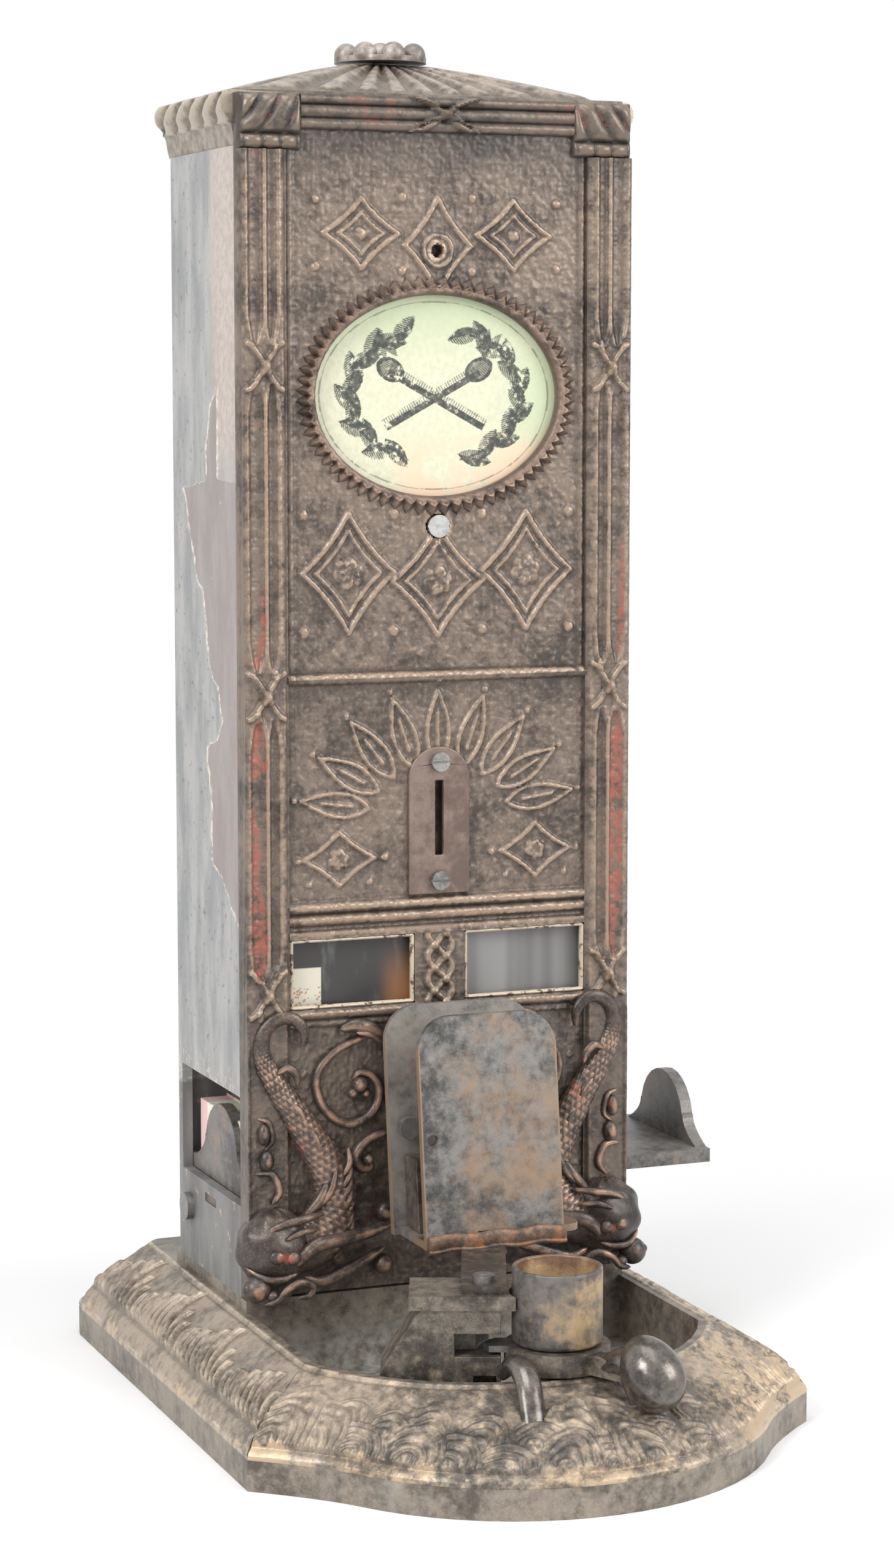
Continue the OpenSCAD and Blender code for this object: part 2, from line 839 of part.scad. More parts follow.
module pocket_strap() {
    color(iron)
        at_cutter()
            difference() {
                box([strap_u - strap_w / 2, strap_v0, slab_z + slab_t],
                    [strap_u + strap_w / 2, strap_v1, pocket_z]);
                rod_z(strap_u, strap_screw0, pocket_z - 4, pocket_z + 1, screw_r + fit);
                rod_z(strap_u, strap_screw1, pocket_z - 4, pocket_z + 1, screw_r + fit);
            }
}

module pocket_screws() {
    color(steel) {
        at_cutter() {
            rod_z(strap_u, strap_screw0, cavity_z1 + 1, pocket_z, screw_r);
            rod_z(strap_u, strap_screw0, pocket_z, pocket_z + 2, 3);
            rod_z(strap_u, strap_screw1, slab_z + slab_t, pocket_z + pocket_t, screw_r);
            rod_z(strap_u, strap_screw1, slab_z + slab_t - 2, slab_z + slab_t, 3);
        }
        rod_y(pocket_screw_x, pocket_screw_z, pocket_rear_y - 3, casting_t - 1, screw_r);
        rod_y(pocket_screw_x, pocket_screw_z, pocket_rear_y - 5.2, pocket_rear_y - 3, 3);
    }
}

// Front casting

module casting_outline() {
    difference() {
        translate([-half_w, foot_z])
            square([front_w, casting_h]);
        both()
            translate([mullion_w / 2, window_z])
                square([window_w, window_h]);
        translate([0, oval_z])
            polygon(ellipse(oval_w / 2, oval_h / 2, 72));
        translate([-slot_w / 2, slot_z])
            square([slot_w, slot_l]);
    }
}

module pilaster() {
    box([half_w - pilaster_w, -pilaster_t, foot_z + 1], [half_w, 0.5, pilaster_top]);
    for (i = [-1:1])
        rod_z(pilaster_x + i * reed_pitch, -pilaster_t, foot_z + 1, pilaster_top, reed_r);
    for (z = knots, turn = [-35, 35])
        translate([pilaster_x, 0, z])
            rotate([0, turn, 0])
                box([-pilaster_w / 2 + 0.6, -pilaster_t - reed_r - 0.6, -1.6],
                    [pilaster_w / 2 - 0.6, 0, 1.6]);
}

module ribbon_cross(x, z, reach, front) {
    for (turn = [-35, 35])
        translate([x, 0, z])
            rotate([0, turn, 0])
                box([-reach, -front, -1.6], [reach, 0, 1.6]);
}

module top_rail() {
    for (i = [-1:1])
        rod_x(-1, rail_z + i * rail_r * 1.3, -half_w + block_w - 1, half_w - block_w + 1, rail_r);
    ribbon_cross(0, rail_z, 7, 4.4);
    both()
        along_y(-block_t, block_t + 0.5) {
            translate([half_w - block_w, pilaster_top])
                square([block_w - block_in, casting_h + foot_z - pilaster_top - 2]);
            translate([half_w - block_w + 6, casting_h + foot_z - 6])
                circle(7.5);
            translate([half_w - block_in - 6, casting_h + foot_z - 5.5])
                circle(6);
        }
}

module dolphin_body() {
    path = [for (p = dolphin) [half_w - 1.5 + p[0], p[1], foot_z + p[2]]];
    loft(tube(path, [for (p = dolphin) p[3]], [0, -1, 0], dolphin_sides));
}

module lower_relief() {
    dolphin_body();
    translate([scroll_x, -0.2, scroll_z])
        rotate([90, 0, 0])
            rotate_extrude()
                translate([scroll_r, 0])
                    circle(scroll_tube);
}

module casting_screw_places() {
    for (z = [foot_z + 13, foot_z + 150, top_z - 14])
        both()
            translate([side_in - flange_w / 2, 0, z])
                children();
}

module front_casting() {
    color(iron)
        difference() {
            union() {
                along_y(0, casting_t)
                    casting_outline();
                both()
                    pilaster();
                top_rail();
                rod_x(0, mid_rail_z, -half_w + pilaster_w - 1, half_w - pilaster_w + 1, 1.7);
                rod_x(0, low_rail_z - 1.6, -half_w + pilaster_w - 1, half_w - pilaster_w + 1, 1.5);
                rod_x(0, low_rail_z + 1.6, -half_w + pilaster_w - 1, half_w - pilaster_w + 1, 1.5);
                along_y(-frame_t, frame_t + 0.5)
                    difference() {
                        translate([pilaster_w - half_w, window_z - 2])
                            square([front_w - 2 * pilaster_w, window_h + 4]);
                        both()
                            translate([mullion_w / 2, window_z])
                                square([window_w, window_h]);
                    }
                ribbon_cross(0, window_z + window_h / 2, 6, 3.2);
                translate([0, 0, oval_z])
                    along_y(-ring_t, ring_t + 0.5)
                        difference() {
                            polygon(toothed(oval_w / 2 + ring_band, oval_h / 2 + ring_band));
                            polygon(ellipse(oval_w / 2, oval_h / 2, 72));
                        }
                both()
                    lower_relief();
                rod_y(pocket_screw_x, pocket_screw_z, pocket_rear_y + 0.5, 0.5, 4);
            }
            along_y(casting_t - rebate_d, rebate_d + 1)
                both()
                    translate([mullion_w / 2 - rebate, window_z - rebate])
                        square([window_w + 2 * rebate, window_h + 2 * rebate]);
            translate([0, 0, oval_z])
                along_y(casting_t - rebate_d, rebate_d + 1)
                    polygon(ellipse(oval_w / 2 + oval_rebate, oval_h / 2 + oval_rebate, 72));
            rod_y(0, picture_screw_z, -5, casting_t + 1, picture_screw_r + fit);
            rod_y(0, picture_screw_z, -5, 0, picture_head_r + gap);
            rod_y(0, picture_hole_z, -5, casting_t + 1, picture_screw_r + fit);
            for (z = [slot_screw_low, slot_screw_top])
                rod_y(0, z, -5, casting_t + 1, slot_screw_r + fit);
            rod_y(pocket_screw_x, pocket_screw_z, pocket_rear_y - 1, casting_t + 1, screw_r + fit);
            casting_screw_places()
                rod_y(0, 0, casting_t - 3, casting_t + 1, screw_r + fit);
            for (z = column_screws)
                both()
                    rod_y(column_screw_x, z, casting_t - 2.5, casting_t + 1, column_screw_r + fit);
        }
}

module picture_card() {
    color(paper)
        translate([0, 0, oval_z])
            along_y(casting_t - rebate_d, card_t)
                polygon(ellipse(oval_w / 2 + oval_rebate - 0.3, oval_h / 2 + oval_rebate - 0.3, 72));
}

module picture_backing() {
    color(steel)
        translate([0, 0, oval_z])
            along_y(casting_t - rebate_d + card_t, backing_t)
                polygon(ellipse(oval_w / 2 + oval_rebate - 0.3, oval_h / 2 + oval_rebate - 0.3, 72));
}

module picture_strap() {
    color(steel)
        difference() {
            box([-picture_strap_w / 2, casting_t, picture_screw_z - 4],
                [picture_strap_w / 2, casting_t + picture_strap_t, picture_hole_z + 4]);
            rod_y(0, picture_screw_z, 0, casting_t + 4, picture_screw_r + fit);
            rod_y(0, picture_hole_z, 0, casting_t + 4, picture_screw_r + fit);
        }
}

module picture_screw() {
    color(steel)
        difference() {
            union() {
                rod_y(0, picture_screw_z, 0, casting_t + picture_strap_t + 1, picture_screw_r);
                rod_y(0, picture_screw_z, -1.6, 0, picture_head_r);
            }
            translate([-4, -2.6, picture_screw_z - 0.35])
                cube([8, 1.7, 0.7]);
        }
}

module slot_plate() {
    color(steel)
        along_y(-slot_plate_t, slot_plate_t)
            difference() {
                rounded_top(0, 2 * plate_half, slot_plate_low, slot_plate_top - slot_plate_low,
                    plate_half - 0.1);
                translate([-slot_w / 2, slot_z])
                    square([slot_w, slot_l]);
                for (z = [slot_screw_low, slot_screw_top])
                    translate([0, z])
                        circle(slot_screw_r + fit);
            }
}

module slot_plate_screws() {
    color(brass)
        for (z = [slot_screw_low, slot_screw_top])
            difference() {
                union() {
                    rod_y(0, z, -slot_plate_t, casting_t - 0.5, slot_screw_r);
                    rod_y(0, z, -slot_plate_t - 1.4, -slot_plate_t, 2.7);
                }
                translate([-4, -slot_plate_t - 2.2, z - 0.3])
                    cube([8, 1.5, 0.6]);
            }
}

module window_pane() {
    color(glass)
        along_y(casting_t - rebate_d, rebate_d - 0.1)
            translate([mullion_w / 2 - rebate + 0.2, window_z - rebate + 0.2])
                square([window_w + 2 * rebate - 0.4, window_h + 2 * rebate - 0.4]);
}

module left_window_glass() {
    mirror([1, 0, 0])
        window_pane();
}

module right_window_glass() {
    window_pane();
}

module casting_screws() {
    color(steel)
        casting_screw_places() {
            rod_y(0, 0, casting_t - 2.5, casting_t + flange_t, screw_r);
            rod_y(0, 0, casting_t + flange_t, casting_t + flange_t + 1.8, 2.6);
        }
}

// Sides, slide bed and slide

module side_panel() {
    color(paint)
        difference() {
            union() {
                along_x(side_in, side_t)
                    translate([casting_t, foot_z])
                        square([cabinet_d - casting_t, side_h]);
                box([side_in - flange_w, casting_t, foot_z], [side_in + 0.5, casting_t + flange_t, top_z]);
            }
            box([side_in - flange_w - 1, casting_t - 1, sill_z],
                [half_w + 1, opening_back, opening_top]);
            box([side_in - flange_w - 1, casting_t - 1, sill_z - bed_t - gap],
                [side_in, casting_t + flange_t + 1, sill_z + 1]);
            rod_x(bolt_y, bolt_z, side_in - 1, half_w + 1, bolt_r + fit);
            casting_screw_places()
                rod_y(0, 0, casting_t - 1, casting_t + flange_t + 1, screw_r + fit);
            box([side_in - 1, 26.3, sill_z - 5.6], [half_w + 1, 36.5, sill_z - 3]);
        }
}

module right_side() {
    side_panel();
}

module left_side() {
    mirror([1, 0, 0])
        side_panel();
    color(paint)
        box([-side_in - 0.5, cabinet_d - 1.5, lock_z - 20], [lip_w - side_in, cabinet_d, lock_z + 20]);
}

module slide_bed() {
    color(steel)
        difference() {
            union() {
                box([0.1 - side_in, casting_t + 0.1, sill_z - bed_t], [side_in - 0.1, bed_y1, sill_z]);
                both()
                    box([side_in - 0.1 - bed_flange_t, bolt_y - 8, sill_z - bed_t - bed_flange_h],
                        [side_in - 0.1, bed_y1, sill_z - 0.5]);
                both()
                    box([side_in - 0.5, 26.5, sill_z - 5.4], [half_w - 0.3, 36.3, sill_z - 3.2]);
                both()
                    box([side_in - 4, 26.5, sill_z - 5.4], [side_in - 0.2, 36.3, sill_z - 1]);
            }
            both()
                box([4, coin_slot_y0, sill_z - bed_t - 1], [13, coin_slot_y0 + coin_slot_l, sill_z + 1]);
            rod_x(bolt_y, bolt_z, -half_w, half_w, bolt_r + fit);
        }
}

module side_bolts() {
    color(steel)
        both() {
            rod_x(bolt_y, bolt_z, side_in - bed_flange_t - 4, half_w, bolt_r);
            rod_x(bolt_y, bolt_z, half_w, half_w + 2.2, bolt_head);
            translate([side_in - bed_flange_t - 3.1, bolt_y, bolt_z])
                rotate([0, 90, 0])
                    hex_nut(3, bolt_head, bolt_r + fit);
        }
}

module delivery_slide() {
    color(steel)
        difference() {
            union() {
                box([slide_x - slide_half, slide_y0, slide_z], [slide_x + slide_half, slide_y1, slide_top]);
                box([slide_x - block_half, slide_y0, slide_top - 0.5],
                    [slide_x + block_half, slide_y1 - 1, block_top]);
            }
            for (s = [0, 1])
                box([slide_x - block_half + block_wall + s * block_half, chute_back + 3, slide_z - 1],
                    [slide_x - block_wall + s * block_half, slide_y1 - 1 - block_wall,
                        block_top - block_wall]);
            for (s = [-1, 1]) {
                box([slide_x + s * slide_x - slot_w / 2 - 0.2, coin_slot_y0, slide_z - 1],
                    [slide_x + s * slide_x + slot_w / 2 + 0.2, coin_slot_y0 + coin_slot_l, block_top + 1]);
                box([slide_x + s * slide_x - notch_half, notch_y0, block_top - block_wall - 4],
                    [slide_x + s * slide_x + notch_half, notch_y1, block_top + 1]);
            }
            rivet_places()
                rod_z(0, 0, slide_z - 1, slide_top + 1, rivet_r + fit);
        }
}

module rivet_places() {
    for (s = [-1, 1], t = [-1, 1])
        translate([slide_x + s * (slide_half - tab_t / 2), slide_y + t * rivet_y, 0])
            children();
}

module tab_outline() {
    r = tab_w / 2;
    steps = 8;
    skirt_z = [for (i = [0:steps]) flare_h * i / steps];
    right = [for (z = skirt_z) [r + flare * pow(1 - z / flare_h, 2), z]];
    top = [for (i = [0:12]) arc_pt([0, tab_h - r], r, 15 * i)];
    left = [for (i = [steps:-1:0]) [-right[i].x, right[i].y]];
    translate([slide_y, slide_top])
        polygon(concat(right, top, left));
}

module slide_tabs() {
    color(steel)
        difference() {
            for (x = [slide_x - slide_half, slide_x + slide_half - tab_t])
                along_x(x, tab_t)
                    tab_outline();
            rivet_places()
                rod_z(0, 0, slide_top - 1, slide_top + 4, rivet_r + fit);
        }
}

module slide_rivets() {
    color(steel)
        rivet_places()
            rod_z(0, 0, slide_z, slide_top + 3.5, rivet_r);
}

module match_box(z) {
    box([-column_x - box_w / 2, box_y0, z], [-column_x + box_w / 2, box_y0 + box_l, z + box_h]);
}

module loaded_matchbox() {
    color(paper)
        match_box(slide_top);
}

module matchbox_stack() {
    color(paper)
        for (i = [0:2])
            match_box(stack_z + i * (box_h + 0.05));
}

// Match box columns and coin works

module column() {
    color(steel)
        difference() {
            union() {
                box([column_x - column_half - sheet, casting_t, column_z],
                    [column_x + column_half + sheet, casting_t + 0.8, column_top]);
                for (x = [column_x - column_half - sheet, column_x + column_half])
                    box([x, casting_t, column_z], [x + sheet, column_back, column_top]);
                for (z = column_screws)
                    box([column_x - column_half - sheet - foot_w, casting_t, z - 4],
                        [column_x - column_half, casting_t + 0.8, z + 4]);
            }
            box([column_x - column_half, 0, window_z - 1],
                [column_x + column_half, casting_t + 2, window_z + window_h + 1]);
            rod_x(catch_y, catch_z, 0, mullion_w / 2 + 1, catch_pin_r + fit);
            for (z = column_screws)
                rod_y(column_screw_x, z, 0, casting_t + 4, column_screw_r + fit);
        }
}

module left_column() {
    mirror([1, 0, 0])
        column();
}

module right_column() {
    column();
}

module column_screws() {
    color(steel)
        for (z = column_screws)
            both() {
                rod_y(column_screw_x, z, casting_t - 2, casting_t + 0.8, column_screw_r);
                rod_y(column_screw_x, z, casting_t + 0.8, casting_t + 2, 1.5);
            }
}

module coin_chute() {
    color(steel)
        difference() {
            box([-chute_half, casting_t, chute_low], [chute_half, chute_back, chute_top]);
            box([-slot_w / 2, casting_t - 1, chute_low - 1], [slot_w / 2, chute_back - 1, chute_top - 1]);
            rod_y(0, slot_screw_top, 0, chute_back + 1, 1.8);
        }
}

module coin_catch() {
    color(brass)
        difference() {
            along_x(-catch_half, 2 * catch_half) {
                translate([catch_y, catch_z])
                    circle(4);
                translate([catch_tip, catch_arm_z])
                    square([catch_y - catch_tip, 4]);
                translate([nose_y - nose_half, nose_z])
                    square([2 * nose_half, catch_arm_z + 1 - nose_z]);
            }
            rod_x(catch_y, catch_z, -5, 5, catch_pin_r + fit);
        }
}

module catch_pin() {
    color(steel)
        rod_x(catch_y, catch_z, -mullion_w / 2, mullion_w / 2, catch_pin_r);
}

module catch_spring() {
    color(steel)
        difference() {
            rod_x(catch_y, catch_z, catch_half + 0.3, spring_half, 2.6);
            rod_x(catch_y, catch_z, 0, 6, catch_pin_r + 0.3);
        }
}

// Rear door

module back_door() {
    color(paint)
        difference() {
            box([1 - half_w, door_y, door_z0], [hinge_x - knuckle_r - gap, door_y + door_t, door_z1]);
            rod_y(lock_x, lock_z, door_y - 1, door_y + 4, lock_r + fit);
        }
}

module hinge_barrel(z0, z1) {
    difference() {
        rod_z(hinge_x, hinge_y, z0, z1, knuckle_r);
        rod_z(hinge_x, hinge_y, z0 - 1, z1 + 1, hinge_pin_r + fit);
    }
}

module door_knuckles() {
    third = hinge_l / 3;
    color(steel)
        for (z = hinges) {
            hinge_barrel(z + third + 0.2, z + 2 * third - 0.2);
            difference() {
                box([half_w - leaf_w, door_y + door_t, z + third + 0.2],
                    [hinge_x, door_y + door_t + leaf_t, z + 2 * third - 0.2]);
                rod_z(hinge_x, hinge_y, z, z + hinge_l, knuckle_r - 0.2);
            }
        }
}

module hinge_leaves() {
    third = hinge_l / 3;
    color(steel)
        for (z = hinges, k = [0, 2])
            translate([0, 0, z + k * third]) {
                hinge_barrel(0, third);
                difference() {
                    box([half_w, cabinet_d - leaf_w, 0], [half_w + leaf_t, hinge_y, third]);
                    rod_z(hinge_x, hinge_y, -1, third + 1, knuckle_r - 0.2);
                }
            }
}

module hinge_pins() {
    color(steel)
        for (z = hinges)
            rod_z(hinge_x, hinge_y, z, z + hinge_l, hinge_pin_r);
}

module door_lock() {
    color(brass)
        difference() {
            union() {
                rod_y(lock_x, lock_z, lock_y, door_y + door_t, lock_r);
                rod_y(lock_x, lock_z, door_y + door_t, door_y + door_t + 1.8, lock_r + 1.5);
                rod_y(lock_x, lock_z, lock_y - cam_t - 0.4, lock_y, 1.5);
            }
            box([lock_x - 0.6, door_y, lock_z - 2.2], [lock_x + 0.6, door_y + door_t + 3, lock_z + 2.2]);
        }
}

module lock_cam() {
    color(steel)
        difference() {
            union() {
                rod_y(lock_x, lock_z, lock_y - cam_t - 0.1, lock_y - 0.1, 3);
                box([lock_x - 2, lock_y - cam_t - 0.1, lock_z],
                    [lock_x + 2, lock_y - 0.1, lock_z + cam_reach]);
            }
            rod_y(lock_x, lock_z, lock_y - cam_t - 1, lock_y + 1, 1.5 + fit);
        }
}

// Roof

function eave_half() = [[half_w, top_z], [half_w + 0.5, top_z + 2], [half_w + 1.2, top_z + 5.5],
    [roof_half - 0.8, top_z + 8.2], [roof_half, top_z + 9.6], [roof_half, top_z + 12.4],
    [roof_half - 1.2, top_z + 14.4], [dome_half, roof_z]];

function dome_reach(a) =
    let (sx = dome_half / max(abs(cos(a)), 0.0001),
        ahead = sin(a) > 0 ? dome_back - finial_d : finial_d - roof_front,
        sy = ahead / max(abs(sin(a)), 0.0001))
    min(sx, sy);

function dome_ring(s, lift, lobe) =
    [for (i = [0:4 * flutes - 1])
        let (a = 90 * i / flutes, d = s * dome_reach(a))
        [d * cos(a), finial_d + d * sin(a), roof_z + lift + lobe * abs(sin(flutes * a / 2))]];

module roof() {
    right = eave_half();
    left = [for (i = [len(right) - 1:-1:0]) [-right[i].x, right[i].y]];
    color(iron)
        difference() {
            union() {
                along_y(roof_front, roof_back - roof_front)
                    polygon(concat(right, left));
                loft([dome_ring(1, -2, 0), dome_ring(1, -0.2, 0), dome_ring(0.9, dome_h * 0.12, 1),
                    dome_ring(0.7, dome_h * 0.37, 1.2), dome_ring(0.45, dome_h * 0.66, 1),
                    dome_ring(0.22, dome_h * 0.89, 0.3)]);
                rod_z(0, finial_d, roof_z, dome_z, finial_seat);
            }
            box([-side_in, roof_front + 2, top_z - 1], [side_in, cabinet_d - 2, ceiling_z]);
            rod_z(0, finial_d, top_z, dome_z + 1, stud_r + fit);
        }
}

module roof_bar() {
    color(steel)
        difference() {
            union() {
                box([0.1 - side_in, finial_d - bar_w / 2, bar_z],
                    [side_in - 0.1, finial_d + bar_w / 2, bar_z + bar_t]);
                both()
                    box([side_in - 1.6, finial_d - bar_w / 2, bar_z - 8],
                        [side_in - 0.1, finial_d + bar_w / 2, bar_z + 1]);
            }
            rod_z(0, finial_d, bar_z - 1, bar_z + bar_t + 1, stud_r + fit);
        }
}

module finial() {
    ball = finial_r * 0.25;
    color(iron) {
        difference() {
            union() {
                rod_z(0, finial_d, dome_z, dome_z + 1.6, finial_r - 0.6);
                for (i = [0:7])
                    rotate_about(45 * i)
                        translate([finial_r - ball, finial_d, dome_z + 2])
                            sphere(ball);
                translate([0, finial_d, dome_z + 2.2])
                    sphere(3.8);
            }
            rod_z(0, finial_d, dome_z - 5, dome_z, finial_r + 1);
        }
        rod_z(0, finial_d, bar_z - nut_h - 2, dome_z + 1, stud_r);
    }
}

module rotate_about(a) {
    translate([0, finial_d, 0])
        rotate([0, 0, a])
            translate([0, -finial_d, 0])
                children();
}

module finial_nut() {
    color(steel)
        translate([0, finial_d, bar_z - nut_h])
            hex_nut(nut_h, nut_r, stud_r + fit);
}

// Cash drawer

module cash_drawer() {
    color(steel)
        difference() {
            box([-drawer_w / 2, drawer_face - drawer_l, drawer_z], [drawer_w / 2, drawer_face, drawer_top]);
            box([drawer_wall - drawer_w / 2, drawer_face - drawer_l + drawer_wall, drawer_z + drawer_wall],
                [drawer_w / 2 - drawer_wall, drawer_face - 2 * drawer_wall, drawer_top + 1]);
            rod_y(0, drawer_z + drawer_h / 2, drawer_face - 2 * drawer_wall - 1, drawer_face + 1,
                1.5 + fit);
        }
}

module drawer_knob() {
    color(brass) {
        rod_y(0, drawer_z + drawer_h / 2, drawer_face - 2 * drawer_wall, drawer_face + 3, 1.5);
        rod_y(0, drawer_z + drawer_h / 2, drawer_face, drawer_face + 1.2, 3);
        rod_y(0, drawer_z + drawer_h / 2, drawer_face + 3, drawer_face + 6.5, 4.5);
    }
}

base_casting();
base_plate();
base_plate_screws();
cutter_housing();
cutter_pivot();
cutter_lever();
lever_knob();
cutter_blade();
blade_rivets();
lever_spring();
ash_cup();
cup_screw();
thumb_horn();
matchbox_pocket();
pocket_block();
pocket_strap();
pocket_screws();
front_casting();
left_side();
right_side();
picture_card();
picture_backing();
picture_strap();
picture_screw();
slot_plate();
slot_plate_screws();
left_window_glass();
right_window_glass();
left_column();
right_column();
column_screws();
matchbox_stack();
coin_chute();
coin_catch();
catch_pin();
catch_spring();
slide_bed();
side_bolts();
delivery_slide();
slide_tabs();
slide_rivets();
loaded_matchbox();
casting_screws();
back_door();
door_knuckles();
hinge_leaves();
hinge_pins();
door_lock();
lock_cam();
roof();
roof_bar();
finial();
finial_nut();
cash_drawer();
drawer_knob();
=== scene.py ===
"""Looks of the counter match vending machine: cast reliefs, worn paint, light and camera."""
import math

import bpy
import numpy as np
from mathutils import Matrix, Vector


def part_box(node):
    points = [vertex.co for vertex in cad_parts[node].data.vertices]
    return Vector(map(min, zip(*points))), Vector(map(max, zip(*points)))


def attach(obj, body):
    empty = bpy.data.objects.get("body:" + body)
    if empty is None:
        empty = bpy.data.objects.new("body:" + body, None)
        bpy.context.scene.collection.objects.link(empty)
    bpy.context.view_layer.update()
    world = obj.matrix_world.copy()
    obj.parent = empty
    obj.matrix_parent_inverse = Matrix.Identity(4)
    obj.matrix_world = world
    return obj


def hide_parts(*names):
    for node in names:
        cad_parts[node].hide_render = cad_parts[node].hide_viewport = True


MM = 0.001
SIDES = {-1: "left", 1: "right"}

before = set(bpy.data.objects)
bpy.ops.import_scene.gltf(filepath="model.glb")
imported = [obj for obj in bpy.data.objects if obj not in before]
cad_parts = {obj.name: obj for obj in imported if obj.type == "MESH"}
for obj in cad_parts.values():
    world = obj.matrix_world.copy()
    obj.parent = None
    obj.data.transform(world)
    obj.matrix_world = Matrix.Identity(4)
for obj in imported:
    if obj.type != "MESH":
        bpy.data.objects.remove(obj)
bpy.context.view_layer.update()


# Numbers shared by several pieces, in millimetres

HALF_W = 57.5  # half width of the front casting
PILASTER_IN = 44.5  # inner edge of a pilaster
FIELD_HALF = 44.6  # half width of a field panel
FOOT_Z = 30.6  # foot of the relief on the front
FIELD_TOP = 352.0
MID_RAIL_Z = 203.0
WINDOW = (111.3, 131.0)  # lower and upper edge
MULLION = 7.5  # half width of the bar between the windows
OVAL = (280.5, 36.0, 27.6)  # middle, half width and half height
SEAT = 3.9  # depth of the plane that the relief slabs stand on
STEP = 0.45  # cell of a height map


# Noise, blur and curve helpers

def lattice(points, seed):
    """Hash of whole-number lattice points: the fraction of a large multiple of a sine, from 0 to 1."""
    weights = np.array([12.9898, 78.233, 37.719])[:points.shape[-1]]
    return np.modf(np.abs(np.sin(points @ weights + seed * 4.17) * 43758.5453))[0]


def value_noise(points, size, seed=0):
    """Smooth noise: lattice hashes blended by the cubic 3t^2 - 2t^3 along each axis."""
    q = points / size
    base = np.floor(q)
    t = q - base
    t = t * t * (3 - 2 * t)
    total = 0.0
    count = points.shape[-1]
    for corner in range(2 ** count):
        offset = np.array([(corner >> axis) & 1 for axis in range(count)], float)
        weight = np.prod(np.where(offset > 0, t, 1 - t), axis=-1)
        total = total + weight * lattice(base + offset, seed)
    return total


def rough_noise(points, size, seed=0, octaves=3):
    """Sum of value noises, each half the size and half the strength of the last, scaled to 0..1."""
    total, weight = 0.0, 0.0
    for k in range(octaves):
        total = total + value_noise(points, size / 2 ** k, seed + k) / 2 ** k
        weight += 1 / 2 ** k
    return total / weight


def smooth(lo, hi, value):
    """Cubic step from 0 at lo to 1 at hi."""
    t = np.clip((value - lo) / (hi - lo), 0, 1)
    return t * t * (3 - 2 * t)


def blur(field, reach):
    """Mean over a square of cells, by running sums along both axes."""
    for axis in (0, 1):
        pad = [(0, 0), (0, 0)]
        pad[axis] = (reach + 1, reach)
        sums = np.cumsum(np.pad(field, pad, mode="edge"), axis=axis)
        size = field.shape[axis]
        high = np.take(sums, np.arange(2 * reach + 1, 2 * reach + 1 + size), axis=axis)
        low = np.take(sums, np.arange(0, size), axis=axis)
        field = (high - low) / (2 * reach + 1)
    return field


def curve(points, count):
    """Smooth curve through control rows: Catmull-Rom cubics, sampled evenly by row number."""
    rows = np.asarray(points, float)
    ends = np.vstack([2 * rows[0] - rows[1], rows, 2 * rows[-1] - rows[-2]])
    u = np.linspace(0, len(rows) - 1, count)
    k = np.minimum(u.astype(int), len(rows) - 2)
    t = (u - k)[:, None]
    a, b, c, d = ends[k], ends[k + 1], ends[k + 2], ends[k + 3]
    return b + 0.5 * t * (c - a + t * (2 * a - 5 * b + 4 * c - d + t * (3 * (b - c) + d - a)))


def circle(cx, cz, radius, count=40):
    """Flat ring of points about (cx, cz)."""
    a = np.radians(np.linspace(0, 360, count))
    return np.stack([cx + radius * np.cos(a), cz + radius * np.sin(a)], 1)


# Mesh helpers

def add_mesh(name, points, faces, body, material, stands_for=(), ngons=(), fields=None, sharp=50):
    """A mesh object from points in millimetres, equal-sided faces, a few many-sided faces and point fields."""
    mesh = bpy.data.meshes.new(name)
    points = np.asarray(points, float).reshape(-1, 3)
    faces = np.asarray(faces, int)
    loops = np.concatenate([faces.ravel()] + [np.asarray(n, int) for n in ngons])
    sizes = np.concatenate([np.full(len(faces), faces.shape[1]), np.array([len(n) for n in ngons], int)])
    mesh.vertices.add(len(points))
    mesh.vertices.foreach_set("co", (points * MM).ravel())
    mesh.loops.add(len(loops))
    mesh.loops.foreach_set("vertex_index", loops)
    mesh.polygons.add(len(sizes))
    mesh.polygons.foreach_set("loop_start", np.concatenate([[0], np.cumsum(sizes)[:-1]]))
    for label, values in (fields or {}).items():
        layer = mesh.attributes.new(label, "FLOAT", "POINT")
        layer.data.foreach_set("value", np.asarray(values, float).ravel())
    mesh.update(calc_edges=True)
    mesh.validate()
    mesh.shade_smooth()
    mesh.set_sharp_from_angle(angle=math.radians(sharp))
    mesh.materials.append(material)
    thing = bpy.data.objects.new(name, mesh)
    bpy.context.scene.collection.objects.link(thing)
    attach(thing, body)
    if stands_for:
        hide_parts(*stands_for)


def grid_faces(rows, columns, wrap=False, flip=False, start=0):
    """Quads of a grid of points stored row by row; with wrap the last column joins the first."""
    index = start + np.arange(rows * columns).reshape(rows, columns)
    if wrap:
        index = np.concatenate([index, index[:, :1]], axis=1)
    quads = np.stack([index[:-1, :-1], index[:-1, 1:], index[1:, 1:], index[1:, :-1]], -1).reshape(-1, 4)
    return quads[:, ::-1] if flip else quads


